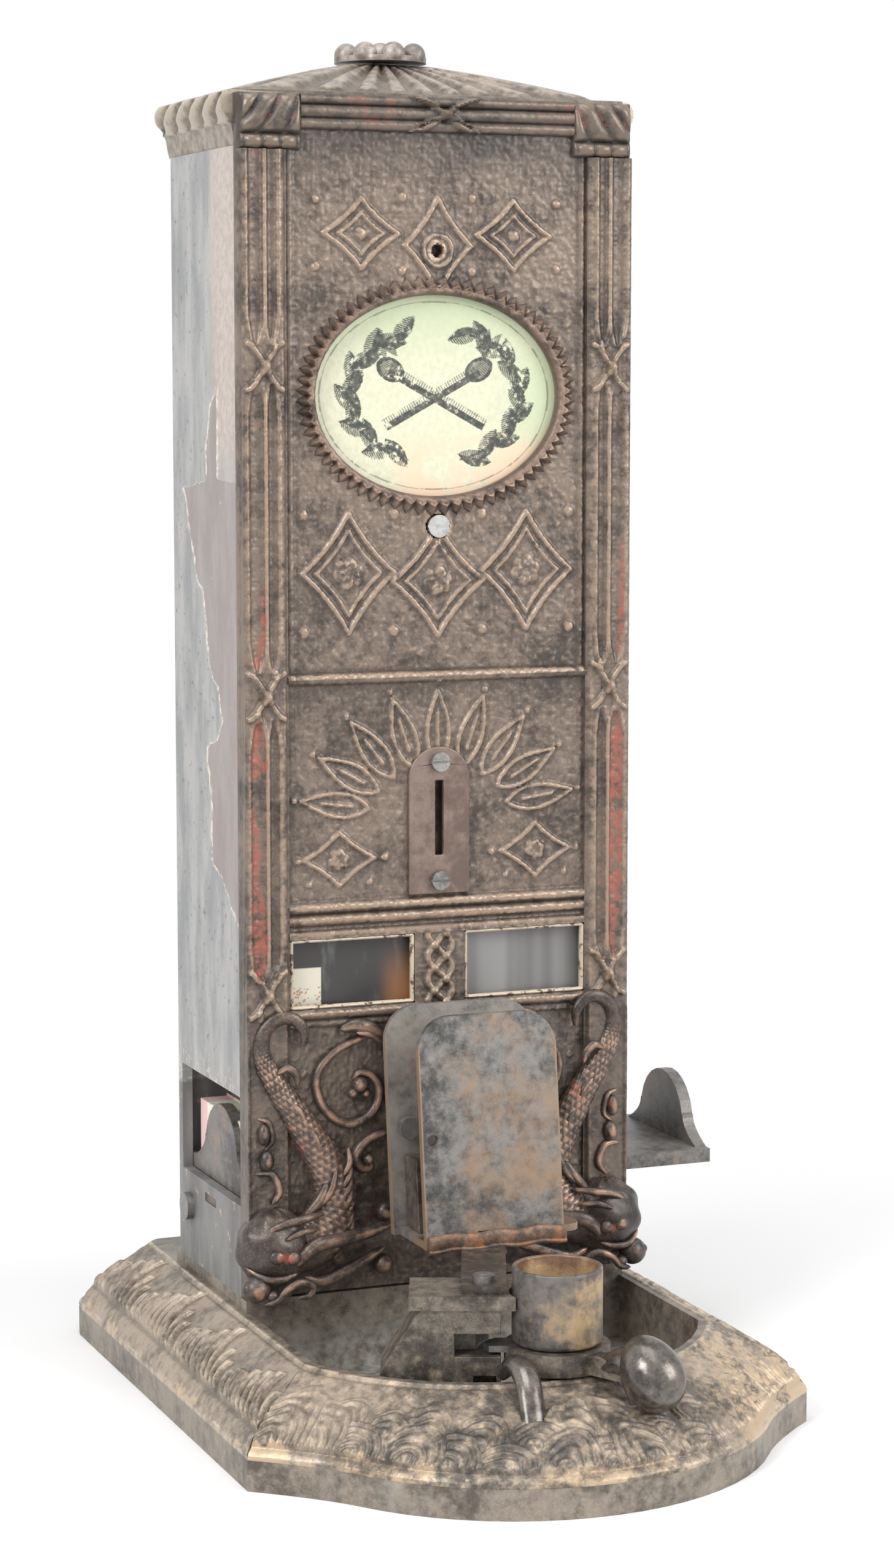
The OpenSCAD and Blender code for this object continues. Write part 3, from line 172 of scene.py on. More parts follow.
def tube(path, wide, deep, face=(0, -1, 0), sides=20, swell=None):
    """Closed sweep: an ellipse of half sizes wide and deep carried along a path, with flat ends.

    The deep axis is the part of face that is square to the path. swell multiplies the
    ellipse at each ring and side. The crest value is 1 on the side of face and -1 behind.
    """
    path = np.asarray(path, float)
    count = len(path)
    wide = np.broadcast_to(np.asarray(wide, float), count)
    deep = np.broadcast_to(np.asarray(deep, float), count)
    along = np.gradient(path, axis=0)
    along /= np.linalg.norm(along, axis=1, keepdims=True) + 1e-9
    out = np.broadcast_to(np.asarray(face, float), path.shape)
    out = out - along * np.sum(out * along, axis=1, keepdims=True)
    out = out / (np.linalg.norm(out, axis=1, keepdims=True) + 1e-9)
    side = np.cross(along, out)
    a = np.linspace(0, 2 * np.pi, sides, endpoint=False)
    grow = np.ones((count, sides)) if swell is None else swell
    ring = (path[:, None]
            + side[:, None] * (wide[:, None] * np.cos(a) * grow)[..., None]
            + out[:, None] * (deep[:, None] * np.sin(a) * grow)[..., None])
    faces = grid_faces(count, sides, wrap=True)
    caps = [np.arange(sides)[::-1], (count - 1) * sides + np.arange(sides)]
    crest = np.tile(np.sin(a), (count, 1)).ravel()
    return ring.reshape(-1, 3), faces, caps, crest


def gather(pieces):
    """Joins several swept shapes into one list of points, faces, end faces and crest values."""
    points, faces, caps, crests, start = [], [], [], [], 0
    for p, f, c, high in pieces:
        points.append(p)
        faces.append(f + start)
        caps += [np.asarray(n) + start for n in c]
        crests.append(high)
        start += len(p)
    return np.concatenate(points), np.concatenate(faces), caps, np.concatenate(crests)


def ball(centre, radii, rows=14, sides=24, lumps=None):
    """Closed ellipsoid: rings of latitude about the z axis, with small end faces."""
    lat = np.linspace(-np.pi / 2 + 0.12, np.pi / 2 - 0.12, rows)
    a = np.linspace(0, 2 * np.pi, sides, endpoint=False)
    grow = np.ones((rows, sides)) if lumps is None else lumps(lat[:, None], a[None, :])
    unit = np.stack([np.cos(lat)[:, None] * np.cos(a) * grow, np.cos(lat)[:, None] * np.sin(a) * grow,
                     np.sin(lat)[:, None] * grow], -1)
    points = np.asarray(centre, float) + unit * np.asarray(radii, float)
    caps = [np.arange(sides)[::-1], (rows - 1) * sides + np.arange(sides)]
    return points.reshape(-1, 3), grid_faces(rows, sides, wrap=True), caps, -unit[..., 1].ravel()


class Relief:
    """A height map over the front plane: x across, z up, heights towards the viewer."""

    def __init__(self, x0, x1, z0, z1, step=STEP):
        self.xs = np.linspace(x0, x1, int(round((x1 - x0) / step)) + 1)
        self.zs = np.linspace(z0, z1, int(round((z1 - z0) / step)) + 1)
        self.x, self.z = np.meshgrid(self.xs, self.zs)
        self.q = np.stack([self.x, self.z], -1)
        self.h = np.zeros_like(self.x)
        self.paint = np.zeros_like(self.x)
        # painted shade in the corners, taken off the wear field of the slab
        self.corner_shade = np.zeros_like(self.x)
        self.step = step

    def near(self, lo, hi, margin):
        """Index ranges of the part of the map that lies between two corners."""
        i = np.searchsorted(self.xs, (lo[0] - margin, hi[0] + margin))
        k = np.searchsorted(self.zs, (lo[1] - margin, hi[1] + margin))
        return slice(k[0], k[1]), slice(i[0], i[1])

    def away(self, points, part):
        """Distance of each cell to the nearest segment of a line through the points."""
        x, z = self.x[part], self.z[part]
        best = np.full(x.shape, np.inf)
        for a, b in zip(points[:-1], points[1:]):
            d = b - a
            t = np.clip(((x - a[0]) * d[0] + (z - a[1]) * d[1]) / max(d @ d, 1e-9), 0, 1)
            best = np.minimum(best, np.hypot(x - a[0] - t * d[0], z - a[1] - t * d[1]))
        return best

    def bead(self, points, radius, rise, closed=False, paint=0.0):
        """Raises a half-round line: the square root of 1 - (distance / radius)^2, times the rise."""
        p = np.asarray(points, float)
        part = self.near(p.min(0), p.max(0), radius + self.step)
        if 0 in self.x[part].shape:
            return
        d = self.away(np.vstack([p, p[:1]]) if closed else p, part)
        self.h[part] += rise * np.sqrt(np.clip(1 - (d / radius) ** 2, 0, 1))
        self.paint[part] = np.maximum(self.paint[part], paint * (d < radius))

    def boss(self, cx, cz, rx, rise, rz=None, paint=0.0):
        """Raises a round or oval dome: the square root of 1 - r^2, times the rise."""
        rz = rx if rz is None else rz
        part = self.near((cx - rx, cz - rz), (cx + rx, cz + rz), self.step)
        r2 = ((self.x[part] - cx) / rx) ** 2 + ((self.z[part] - cz) / rz) ** 2
        self.h[part] += rise * np.sqrt(np.clip(1 - r2, 0, 1))
        self.paint[part] = np.maximum(self.paint[part], paint * (r2 < 1))

    def slab(self, name, stands_for=(), worn=1.0):
        """Closes the map as a slab with straight walls and a flat back; worn scales the wear of its edges, and the
        painted shade of the corners is taken off the wear field.
        """
        rows, columns = self.h.shape
        top = np.stack([self.x, -self.h, self.z], -1).reshape(-1, 3)
        x0, x1, z0, z1 = self.xs[0], self.xs[-1], self.zs[0], self.zs[-1]
        back = np.array([[x0, SEAT, z0], [x1, SEAT, z0], [x1, SEAT, z1], [x0, SEAT, z1]])
        n = rows * columns
        index = np.arange(n).reshape(rows, columns)
        ngons = [np.concatenate([index[0][::-1], [n, n + 1]]),
                 np.concatenate([index[-1], [n + 2, n + 3]]),
                 np.concatenate([index[:, 0], [n + 3, n]]),
                 np.concatenate([index[::-1, -1], [n + 1, n + 2]]),
                 np.array([n, n + 3, n + 2, n + 1])]
        reach = max(2, int(round(1.6 / self.step)))
        # the wear field here also carries the painted corner shade, subtracted from it
        wear = 0.5 + worn * (self.h - blur(self.h, reach)) / 1.1 - self.corner_shade
        fields = {"wear": np.append(np.clip(wear, 0, 1).ravel(), [0.5] * 4),
                  "paint": np.append(self.paint.ravel(), [0.0] * 4)}
        add_mesh(name, np.vstack([top, back]), grid_faces(rows, columns), "cabinet", BRONZE,
                 stands_for, ngons, fields, 62)


# Shader helpers

class Amount:
    """A value or colour in a node tree; arithmetic on it adds nodes to that tree."""

    def __init__(self, tree, socket):
        self.tree, self.socket = tree, socket

    def calc(self, operation, *others):
        """One arithmetic node on this value and the others."""
        node = self.tree.nodes.new("ShaderNodeMath")
        node.operation = operation
        for value, socket in zip((self,) + others, node.inputs):
            put(value, socket)
        return Amount(self.tree, node.outputs[0])

    def __add__(self, other):
        return self.calc("ADD", other)

    def __sub__(self, other):
        return self.calc("SUBTRACT", other)

    def __mul__(self, other):
        return self.calc("MULTIPLY", other)

    def larger(self, other):
        """The larger of two values."""
        return self.calc("MAXIMUM", other)

    def step(self, lo, hi):
        """Smooth step from 0 at lo to 1 at hi."""
        node = self.tree.nodes.new("ShaderNodeMapRange")
        node.interpolation_type = "SMOOTHSTEP"
        put(self, node.inputs["Value"])
        put(lo, node.inputs["From Min"])
        put(hi, node.inputs["From Max"])
        return Amount(self.tree, node.outputs["Result"])

    def blend(self, a, b):
        """Mix of two colours: a where this value is 0, b where it is 1."""
        node = self.tree.nodes.new("ShaderNodeMix")
        node.data_type = "RGBA"
        put(self, node.inputs["Factor"])
        put(a, node.inputs["A"])
        put(b, node.inputs["B"])
        return Amount(self.tree, node.outputs["Result"])


def put(value, socket):
    """Links a value to a socket, or writes a constant on it."""
    if isinstance(value, Amount):
        value.tree.links.new(value.socket, socket)
    elif hasattr(socket.default_value, "__len__"):
        socket.default_value = tuple(value) + (1.0,) * (len(socket.default_value) - len(value))
    else:
        socket.default_value = value


def object_point(tree):
    """Socket of the object coordinates."""
    return tree.nodes.new("ShaderNodeTexCoord").outputs["Object"]


def place(tree):
    """The three object coordinates in metres."""
    node = tree.nodes.new("ShaderNodeSeparateXYZ")
    tree.links.new(object_point(tree), node.inputs["Vector"])
    return [Amount(tree, socket) for socket in node.outputs]


def spots(tree, scale, detail, rough, stretch=None):
    """Noise on object coordinates; stretch scales the three axes."""
    node = tree.nodes.new("ShaderNodeTexNoise")
    vector = object_point(tree)
    if stretch:
        mapping = tree.nodes.new("ShaderNodeMapping")
        tree.links.new(vector, mapping.inputs["Vector"])
        mapping.inputs["Scale"].default_value = stretch
        vector = mapping.outputs["Vector"]
    tree.links.new(vector, node.inputs["Vector"])
    put(scale, node.inputs["Scale"])
    node.inputs["Detail"].default_value = detail
    node.inputs["Roughness"].default_value = rough
    return Amount(tree, node.outputs["Fac"])


def attribute(tree, name):
    """The value of a point field."""
    node = tree.nodes.new("ShaderNodeAttribute")
    node.attribute_name = name
    return Amount(tree, node.outputs["Fac"])


def make_aged():
    """Node group of aged metal: mottle, worn edges, dark hollows, paint traces and fine pits."""
    tree = bpy.data.node_groups.new("aged_metal", "ShaderNodeTree")
    for label, kind, value in (("Dark", "Color", (0.03, 0.025, 0.02, 1)), ("Body", "Color", (0.1, 0.08, 0.06, 1)),
                               ("Worn", "Color", (0.3, 0.2, 0.13, 1)), ("Paint", "Color", (0.3, 0.1, 0.07, 1)),
                               ("Edge", "Float", 0.5), ("Traces", "Float", 0.0), ("Rub", "Float", 0.5),
                               ("Patch", "Float", 330.0)):
        socket = tree.interface.new_socket(name=label, in_out="INPUT", socket_type="NodeSocket" + kind)
        socket.default_value = value
    for label, kind in (("Color", "Color"), ("Roughness", "Float"), ("Height", "Float")):
        tree.interface.new_socket(name=label, in_out="OUTPUT", socket_type="NodeSocket" + kind)
    inside = {socket.name: Amount(tree, socket) for socket in tree.nodes.new("NodeGroupInput").outputs}
    outside = tree.nodes.new("NodeGroupOutput").inputs
    broad = spots(tree, 45.0, 5.0, 0.62)
    small = spots(tree, 330.0, 5.0, 0.65)
    fine = spots(tree, 1900.0, 3.0, 0.6)
    blotch = spots(tree, inside["Patch"], 6.0, 0.68)
    colour = (broad * 0.55 + small * 0.45).step(0.37, 0.58).blend(inside["Dark"], inside["Body"])
    hollow = inside["Edge"].step(0.47, 0.18)
    colour = (hollow * 0.6).blend(colour, inside["Dark"])
    ragged = inside["Edge"] + (small * 0.6 - 0.3) + (inside["Rub"] * 0.4 - 0.2)
    rubbed = ragged.step(0.52, 0.82)
    colour = rubbed.blend(colour, inside["Worn"])
    flecks = (fine + broad * 0.4).step(0.76, 0.86)
    colour = (flecks * 0.28).blend(colour, inside["Worn"])
    kept = (inside["Traces"] + (blotch * 1.3 - 0.85)).step(0.25, 0.6)
    colour = (kept * 0.85).blend(colour, inside["Paint"])
    put(colour, outside["Color"])
    put(rubbed * -0.1 + (small * 0.35 + 0.27), outside["Roughness"])
    put(fine * 0.5 + small, outside["Height"])
    return tree


def new_material(name):
    """An empty node material and its tree."""
    material = bpy.data.materials.new(name)
    material.use_nodes = True
    material.node_tree.nodes.clear()
    return material, material.node_tree


def link_surface(tree, shader):
    """Links a shader to the output of a material."""
    tree.links.new(shader.outputs[0], tree.nodes.new("ShaderNodeOutputMaterial").inputs["Surface"])


def link_mixed(tree, amount, first, second):
    """Links a mix of two shaders to the output of a material."""
    mix = tree.nodes.new("ShaderNodeMixShader")
    put(amount, mix.inputs["Fac"])
    tree.links.new(first.outputs[0], mix.inputs[1])
    tree.links.new(second.outputs[0], mix.inputs[2])
    link_surface(tree, mix)


def link_principled(tree, colour, rough, metallic, height, bump):
    """Puts colour, roughness and relief on a Principled surface and links it to the output."""
    shader = tree.nodes.new("ShaderNodeBsdfPrincipled")
    put(colour, shader.inputs["Base Color"])
    put(rough, shader.inputs["Roughness"])
    put(metallic, shader.inputs["Metallic"])
    relief = tree.nodes.new("ShaderNodeBump")
    relief.inputs["Strength"].default_value = bump
    relief.inputs["Distance"].default_value = 0.4 * MM
    put(height, relief.inputs["Height"])
    tree.links.new(relief.outputs["Normal"], shader.inputs["Normal"])
    link_surface(tree, shader)


AGED = make_aged()


def aged(name, dark, body, worn, paint=(0.3, 0.1, 0.07), edge=0.5, traces=0.0, rub=0.5, metallic=0.3, bump=0.25,
         patch=330.0, grime_and_shade=None, layer=(0.045, 0.041, 0.039), gloss=0.0):
    """A material of aged metal.

    Edge and traces are point fields, functions of the node tree or constants. The overlay function lays the layer
    colour over the metal:
    pale dust on the tray and the pocket. On the front casting and the bow it is a darkening that holds painted shade
    under the top rail and leaves the bow's right end lighter as painted light. Gloss is added to the roughness.
    """
    material, tree = new_material(name)
    group = tree.nodes.new("ShaderNodeGroup")
    group.node_tree = AGED
    for label, value in (("Dark", dark), ("Body", body), ("Worn", worn), ("Paint", paint),
                         ("Edge", edge), ("Traces", traces), ("Rub", rub), ("Patch", patch)):
        if isinstance(value, str):
            value = attribute(tree, value)
        put(value(tree) if callable(value) else value, group.inputs[label])
    colour, rough, height = (Amount(tree, socket) for socket in group.outputs)
    # the overlay is dust on some materials and painted shade and light on others
    if grime_and_shade:
        colour = grime_and_shade(tree).blend(colour, layer)
    link_principled(tree, colour, rough + gloss if gloss else rough, metallic, height, bump)
    return material


# Materials

def casting_shade_and_dark_tone(tree):
    """Darkening on the front casting: a band at its top, painted shade where it falls on the field under the top rail,
    and a darker tone over the field below the windows.
    """
    x, y, z = place(tree)
    return (z.step(0.334, 0.350) * 0.52).larger(z.step(0.113, 0.107) * 0.25)


def bow_darkening_and_lit_end(tree):
    """Mottled darkening on the front of the bow; it fades out towards the right end, which stays lighter as painted
    light from the right.
    """
    x, y, z = place(tree)
    return y.step(-0.070, -0.092) * x.step(0.058, 0.020) * spots(tree, 150.0, 6.0, 0.7).step(0.38, 0.64) * 0.86


def tray_dust(tree):
    """Pale dust on the floor of the tray."""
    x, y, z = place(tree)
    inside = x.calc("ABSOLUTE").step(0.056, 0.050) * y.step(-0.104, -0.098) * z.step(0.026, 0.010)
    return inside * spots(tree, 130.0, 6.0, 0.7).step(0.35, 0.62)


def pocket_rust(tree):
    """Rust of the pocket: strong on the cut edges of both plates, patchy in the middle of the sheet."""
    x, y, z = place(tree)
    edges = y.step(-0.0245, -0.0265) * (x.step(-0.0168, -0.0174) + x.step(0.0229, 0.0234))
    edges = edges + x.step(-0.0190, -0.0194)
    middle = z.step(0.108, 0.086) * x.step(-0.013, 0.001)
    return edges * 0.5 + (middle * 0.20 + 0.42)


def pocket_dust(tree):
    """Pale dust on the back plate of the pocket, which stands behind the front plate."""
    x, y, z = place(tree)
    return y.step(-0.0265, -0.0245) * spots(tree, 95.0, 5.0, 0.6).step(0.30, 0.62) * 0.55


def cup_inside(tree):
    """Worn rust over the inside of the cup, by the distance from its axis."""
    x, y, z = place(tree)
    u, v = x - 0.002, y + 0.080
    return (u * u + v * v).calc("SQRT").step(0.0113, 0.0108) * 0.45 + 0.47


def cup_rust(tree):
    """Ochre rust on the right flank of the cup."""
    x, y, z = place(tree)
    return x.step(-0.008, 0.004) * z.step(0.057, 0.048) * 0.30 + 0.39


# the front casting's overlay paints shade in a band under the top rail and darkens the field below the windows
BRONZE = aged("bronzed_relief", (0.062, 0.049, 0.041), (0.205, 0.158, 0.125), (0.34, 0.25, 0.183),
              (0.37, 0.115, 0.085), "wear", "paint", grime_and_shade=casting_shade_and_dark_tone, gloss=-0.07)
CREATURE_BRONZE = aged("bronzed_creature", (0.036, 0.031, 0.029), (0.125, 0.094, 0.077), (0.43, 0.265, 0.185),
                       (0.40, 0.14, 0.10), "wear", "paint", gloss=-0.12)
BRONZE_PLAIN = aged("bronzed_plain", (0.040, 0.034, 0.030), (0.13, 0.105, 0.088), (0.32, 0.22, 0.155))
FRAME_RUST = aged("oval_frame_rust", (0.062, 0.045, 0.037), (0.185, 0.132, 0.104), (0.37, 0.25, 0.18),
                  edge="wear", rub=0.45)
ROOF_TAN = aged("roof_tarnish", (0.110, 0.087, 0.068), (0.255, 0.207, 0.163), (0.43, 0.365, 0.295),
                (0.27, 0.15, 0.11), "wear", "paint", gloss=-0.1)
ROOF_PLAIN = aged("roof_iron", (0.185, 0.162, 0.142), (0.415, 0.368, 0.325), (0.64, 0.57, 0.51), edge=0.52)
# the base's overlay darkens the front of the bow but leaves its right end lighter, as painted light from the right
BASE_TAN = aged("base_tarnish", (0.122, 0.101, 0.078), (0.385, 0.312, 0.243), (0.58, 0.475, 0.365),
                (0.56, 0.42, 0.28), "wear", "paint", 0.45, grime_and_shade=bow_darkening_and_lit_end, gloss=-0.05)
BASE_PLAIN = aged("base_iron", (0.095, 0.082, 0.068), (0.28, 0.238, 0.195), (0.48, 0.40, 0.31),
                  (0.52, 0.37, 0.22), traces=0.35, patch=120.0, grime_and_shade=tray_dust, layer=(0.41, 0.405, 0.37))
TRAY = aged("cutter_iron", (0.050, 0.043, 0.036), (0.19, 0.162, 0.132), (0.46, 0.38, 0.28),
            (0.50, 0.41, 0.29), traces=0.38, patch=120.0)
SHEET = aged("dark_sheet", (0.058, 0.047, 0.039), (0.18, 0.138, 0.108), (0.31, 0.225, 0.16))
SLIDE = aged("slide_sheet", (0.070, 0.066, 0.062), (0.20, 0.19, 0.18), (0.44, 0.33, 0.24),
             (0.42, 0.25, 0.17), traces=0.42, patch=120.0)
POCKET = aged("pocket_sheet", (0.052, 0.050, 0.048), (0.222, 0.215, 0.205), (0.38, 0.28, 0.20),
              (0.32, 0.213, 0.137), traces=pocket_rust, patch=62.0, grime_and_shade=pocket_dust, layer=(0.36, 0.31, 0.265))
LIP = aged("pocket_lip_rust", (0.055, 0.040, 0.032), (0.20, 0.125, 0.085), (0.48, 0.29, 0.17),
           (0.42, 0.175, 0.075), edge=0.52, traces=0.52, patch=160.0)
CUP = aged("cup_iron", (0.050, 0.045, 0.042), (0.175, 0.158, 0.142), (0.20, 0.112, 0.072),
           (0.50, 0.35, 0.19), edge=cup_inside, traces=cup_rust, patch=95.0)
STEEL = aged("worn_steel", (0.15, 0.145, 0.14), (0.31, 0.30, 0.29), (0.52, 0.50, 0.47), edge=0.52, metallic=0.8)
BRIGHT_STEEL = aged("bright_screw", (0.40, 0.40, 0.39), (0.66, 0.66, 0.65), (0.82, 0.82, 0.80),
                    edge=0.52, metallic=0.9, bump=0.05, gloss=-0.28)
SLOT_STEEL = aged("slot_plate_steel", (0.150, 0.108, 0.089), (0.245, 0.182, 0.152), (0.39, 0.31, 0.26),
                  edge=0.48, metallic=0.6, bump=0.12)
GUNMETAL = aged("gunmetal", (0.060, 0.056, 0.052), (0.185, 0.166, 0.148), (0.40, 0.34, 0.28),
                edge=0.47, metallic=0.8, bump=0.08, gloss=-0.2)
BRASS = aged("worn_brass", (0.13, 0.09, 0.04), (0.34, 0.25, 0.11), (0.55, 0.43, 0.22), edge=0.52, metallic=0.8)

# Outline of the flaked patch: share of the side's height, share of its depth
FLAKED = (
    (0.0, 0.0), (0.383, 0.0), (0.397, 0.16), (0.412, 0.3), (0.426, 0.44), (0.47, 0.43),
    (0.509, 0.5), (0.521, 0.5), (0.529, 0.35), (0.543, 0.28), (0.568, 0.31), (0.576, 0.42),
    (0.616, 0.49), (0.641, 0.53), (0.65, 0.62), (0.69, 0.74), (0.714, 0.79), (0.729, 0.85),
    (0.732, 0.49), (0.768, 0.47), (0.795, 0.42), (0.806, 0.3), (0.812, 0.0), (1.0, 0.0))
SIDE_FOOT, SIDE_TALL, SIDE_DEEP = 0.005, 0.350, 0.0605


def make_side_paint():
    """Grey paint with a large flaked patch towards the front edge and pale broken borders."""
    material, tree = new_material("grey_side_paint")
    x, y, z = place(tree)
    streak = spots(tree, 120.0, 5.0, 0.6, (1, 1, 0.25))
    mottle = spots(tree, 420.0, 5.0, 0.65)
    wander = spots(tree, 75.0, 6.0, 0.65, (1, 1, 0.7))
    grey = streak.step(0.35, 0.65).blend((0.27, 0.275, 0.278), (0.41, 0.405, 0.395))
    grey = mottle.step(0.58, 0.7).blend(grey, (0.185, 0.182, 0.178))
    upper = z.step(0.245, 0.275) * y.step(0.030, 0.018)
    warm = mottle.step(0.35, 0.65).blend((0.44, 0.37, 0.33), (0.58, 0.495, 0.44))
    grey = (upper * 0.85).blend(grey, warm)
    reach = tree.nodes.new("ShaderNodeFloatCurve")
    points = reach.mapping.curves[0].points
    points[0].location, points[1].location = FLAKED[0], FLAKED[-1]
    for at in FLAKED[1:-1]:
        points.new(*at)
    for point in points:
        point.handle_type = "VECTOR"
    reach.mapping.update()
    put((wander * 0.010 + (z - SIDE_FOOT)).calc("DIVIDE", SIDE_TALL), reach.inputs["Value"])
    line = Amount(tree, reach.outputs["Value"]) * SIDE_DEEP + (wander * 0.008 - 0.004)
    front = z.step(0.2566, 0.2578) * (wander * 0.006 + 0.0175)
    edge = (line - y).calc("MINIMUM", y - front)
    bare = edge.step(-0.0002, 0.0003)
    border = edge.step(-0.0022, -0.0003) * edge.step(0.0003, -0.0002) * mottle.step(0.40, 0.56)
    under = streak.step(0.3, 0.7).blend((0.29, 0.25, 0.235), (0.36, 0.322, 0.305))
    colour = bare.blend(grey, under)
    colour = (border * 0.9).blend(colour, (0.80, 0.70, 0.60))
    chips = spots(tree, 260.0, 6.0, 0.7).step(0.67, 0.71)
    colour = (chips * 0.7).blend(colour, (0.62, 0.53, 0.45))
    flecks = z.step(0.100, 0.084) * spots(tree, 420.0, 6.0, 0.7).step(0.52, 0.58)
    colour = (flecks * 0.8).blend(colour, (0.66, 0.58, 0.50))
    iron = streak.step(0.35, 0.65).blend((0.15, 0.148, 0.143), (0.235, 0.23, 0.222))
    iron = spots(tree, 190.0, 6.0, 0.7).step(0.61, 0.66).blend(iron, (0.46, 0.34, 0.24))
    colour = z.step(0.0825, 0.0805).blend(colour, iron)
    link_principled(tree, colour, mottle * 0.3 + 0.40, 0.0, mottle - bare, 0.3)
    return material


def make_print():
    """Pale cream-green card; the point field ink holds the printed motif, rubbed in places."""
    material, tree = new_material("printed_card")
    x, y, z = place(tree)
    patch = spots(tree, 55.0, 6.0, 0.65)
    speck = spots(tree, 600.0, 4.0, 0.65)
    ground = speck.step(0.35, 0.65).blend((0.60, 0.60, 0.44), (0.68, 0.67, 0.51))
    green = z.step(0.284, 0.306).larger(x.step(0.012, 0.034))
    ground = (green * 0.75).blend(ground, (0.50, 0.58, 0.37))
    low = z.step(0.274, 0.262) * x.step(-0.016, -0.004)
    ground = (low * patch.step(0.40, 0.50)).blend(ground, (0.78, 0.59, 0.42))
    ink = speck.step(0.4, 0.6).blend((0.045, 0.050, 0.042), (0.12, 0.125, 0.10))
    worn = (speck + patch * 0.5).step(0.92, 0.80)
    colour = (attribute(tree, "ink") * worn).blend(ground, ink)
    link_principled(tree, colour, 0.5, 0.0, speck, 0.1)
    return material


def make_card_box():
    """Cream match-box card with a pink band across it and a faint warm speckle."""
    material, tree = new_material("cream_card")
    x, y, z = place(tree)
    speck = spots(tree, 500.0, 5.0, 0.6)
    colour = speck.step(0.45, 0.66).blend((0.90, 0.88, 0.74), (0.80, 0.74, 0.62))
    colour = y.step(0.0492, 0.0496).blend(colour, (0.84, 0.60, 0.58))
    link_principled(tree, colour, 0.7, 0.0, speck, 0.1)
    return material


def make_glass():
    """Dusty panes: the left one dark, with a dotted card in its lower corner and an amber end; the right one banded."""
    material, tree = new_material("dusty_pane")
    x, y, z = place(tree)
    smear = spots(tree, 160.0, 5.0, 0.6, (1, 1, 0.3))
    bands = spots(tree, 90.0, 2.0, 0.5, (1, 1, 0.02))
    amber = x.step(-0.0185, -0.0095) * z.step(0.131, 0.112)
    dark = smear.step(0.5, 0.75).blend((0.055, 0.053, 0.052), (0.19, 0.19, 0.19))
    left = amber.blend(dark, (0.36, 0.17, 0.075))
    right = bands.step(0.38, 0.62).blend((0.16, 0.155, 0.152), (0.30, 0.295, 0.29))
    colour = x.step(-0.001, 0.001).blend(left, right)
    dots = tree.nodes.new("ShaderNodeTexVoronoi")
    dots.inputs["Scale"].default_value = 950.0
    tree.links.new(object_point(tree), dots.inputs["Vector"])
    spot = Amount(tree, dots.outputs["Distance"]).step(0.42, 0.30) * z.step(0.1172, 0.1168)
    card = (spot * 0.7).blend((0.74, 0.70, 0.58), (0.40, 0.17, 0.14))
    corner = x.step(-0.0340, -0.0343) * z.step(0.1226, 0.1222)
    clear = tree.nodes.new("ShaderNodeBsdfTransparent")
    clear.inputs["Color"].default_value = (0.9, 0.9, 0.88, 1)
    shine = tree.nodes.new("ShaderNodeBsdfPrincipled")
    put(corner.blend(colour, card), shine.inputs["Base Color"])
    shine.inputs["Roughness"].default_value = 0.25
    link_mixed(tree, 0.94, clear, shine)
    return material


def make_cream():
    """Broken cream paint over dark iron."""
    material, tree = new_material("cream_paint")
    speck = spots(tree, 380.0, 5.0, 0.65)
    colour = speck.step(0.52, 0.60).blend((0.62, 0.52, 0.40), (0.13, 0.09, 0.07))
    link_principled(tree, colour, 0.6, 0.0, speck, 0.3)
    return material


SIDE_PAINT, PRINT, BOX_CARD = make_side_paint(), make_print(), make_card_box()
PANE, CREAM = make_glass(), make_cream()


# Front casting: field panels

def pebbles(part):
    """Cast grain of the field: rounded lumps about 1.3 mm apart over a slow swell."""
    lumps = np.abs(value_noise(part.q, 1.35, 3) - 0.5)
    lumps += 0.6 * np.abs(value_noise(part.q + 40.0, 0.95, 8) - 0.5)
    return 0.60 * lumps + 0.12 * value_noise(part.q, 7.0, 9)


def shaded(part, top):
    """Painted shade in the corners of a field: it falls off with the distance from the side frames and from the top."""
    side = np.clip(PILASTER_IN - np.abs(part.x), 0, None)
    return 0.30 * np.exp(-side / 2.6) + 0.34 * np.exp(-np.clip(top - part.z, 0, None) / 5.5)


def lozenge(part, cx, cz, rx, rz, radius, rise):
    """Raised outline of a lozenge; each side is a quadratic curve that is drawn in towards the middle."""
    t = np.linspace(0, 1, 12)
    corners = np.array([[rx, 0], [0, rz], [-rx, 0], [0, -rz]], float)
    sides = []
    for a, b in zip(corners, np.roll(corners, -1, axis=0)):
        mid = (a + b) / 2 * 0.80
        sides.append(np.outer((1 - t) ** 2, a) + np.outer(2 * t * (1 - t), mid) + np.outer(t ** 2, b))
    part.bead(np.vstack(sides) + (cx, cz), radius, rise, True)


def rosette(part, cx, cz, radius, petals=6, rise=0.9):
    """A flower of domed petals round a button."""
    for k in range(petals):
        a = 2 * math.pi * k / petals + 0.3
        part.boss(cx + 0.62 * radius * math.cos(a), cz + 0.62 * radius * math.sin(a), 0.42 * radius, rise)
    part.boss(cx, cz, 0.36 * radius, rise * 0.9)


def cross_bead(part, z, radius, rise):
    """A level bead from one side frame to the other."""
    part.bead([(-FIELD_HALF, z), (FIELD_HALF, z)], radius, rise)


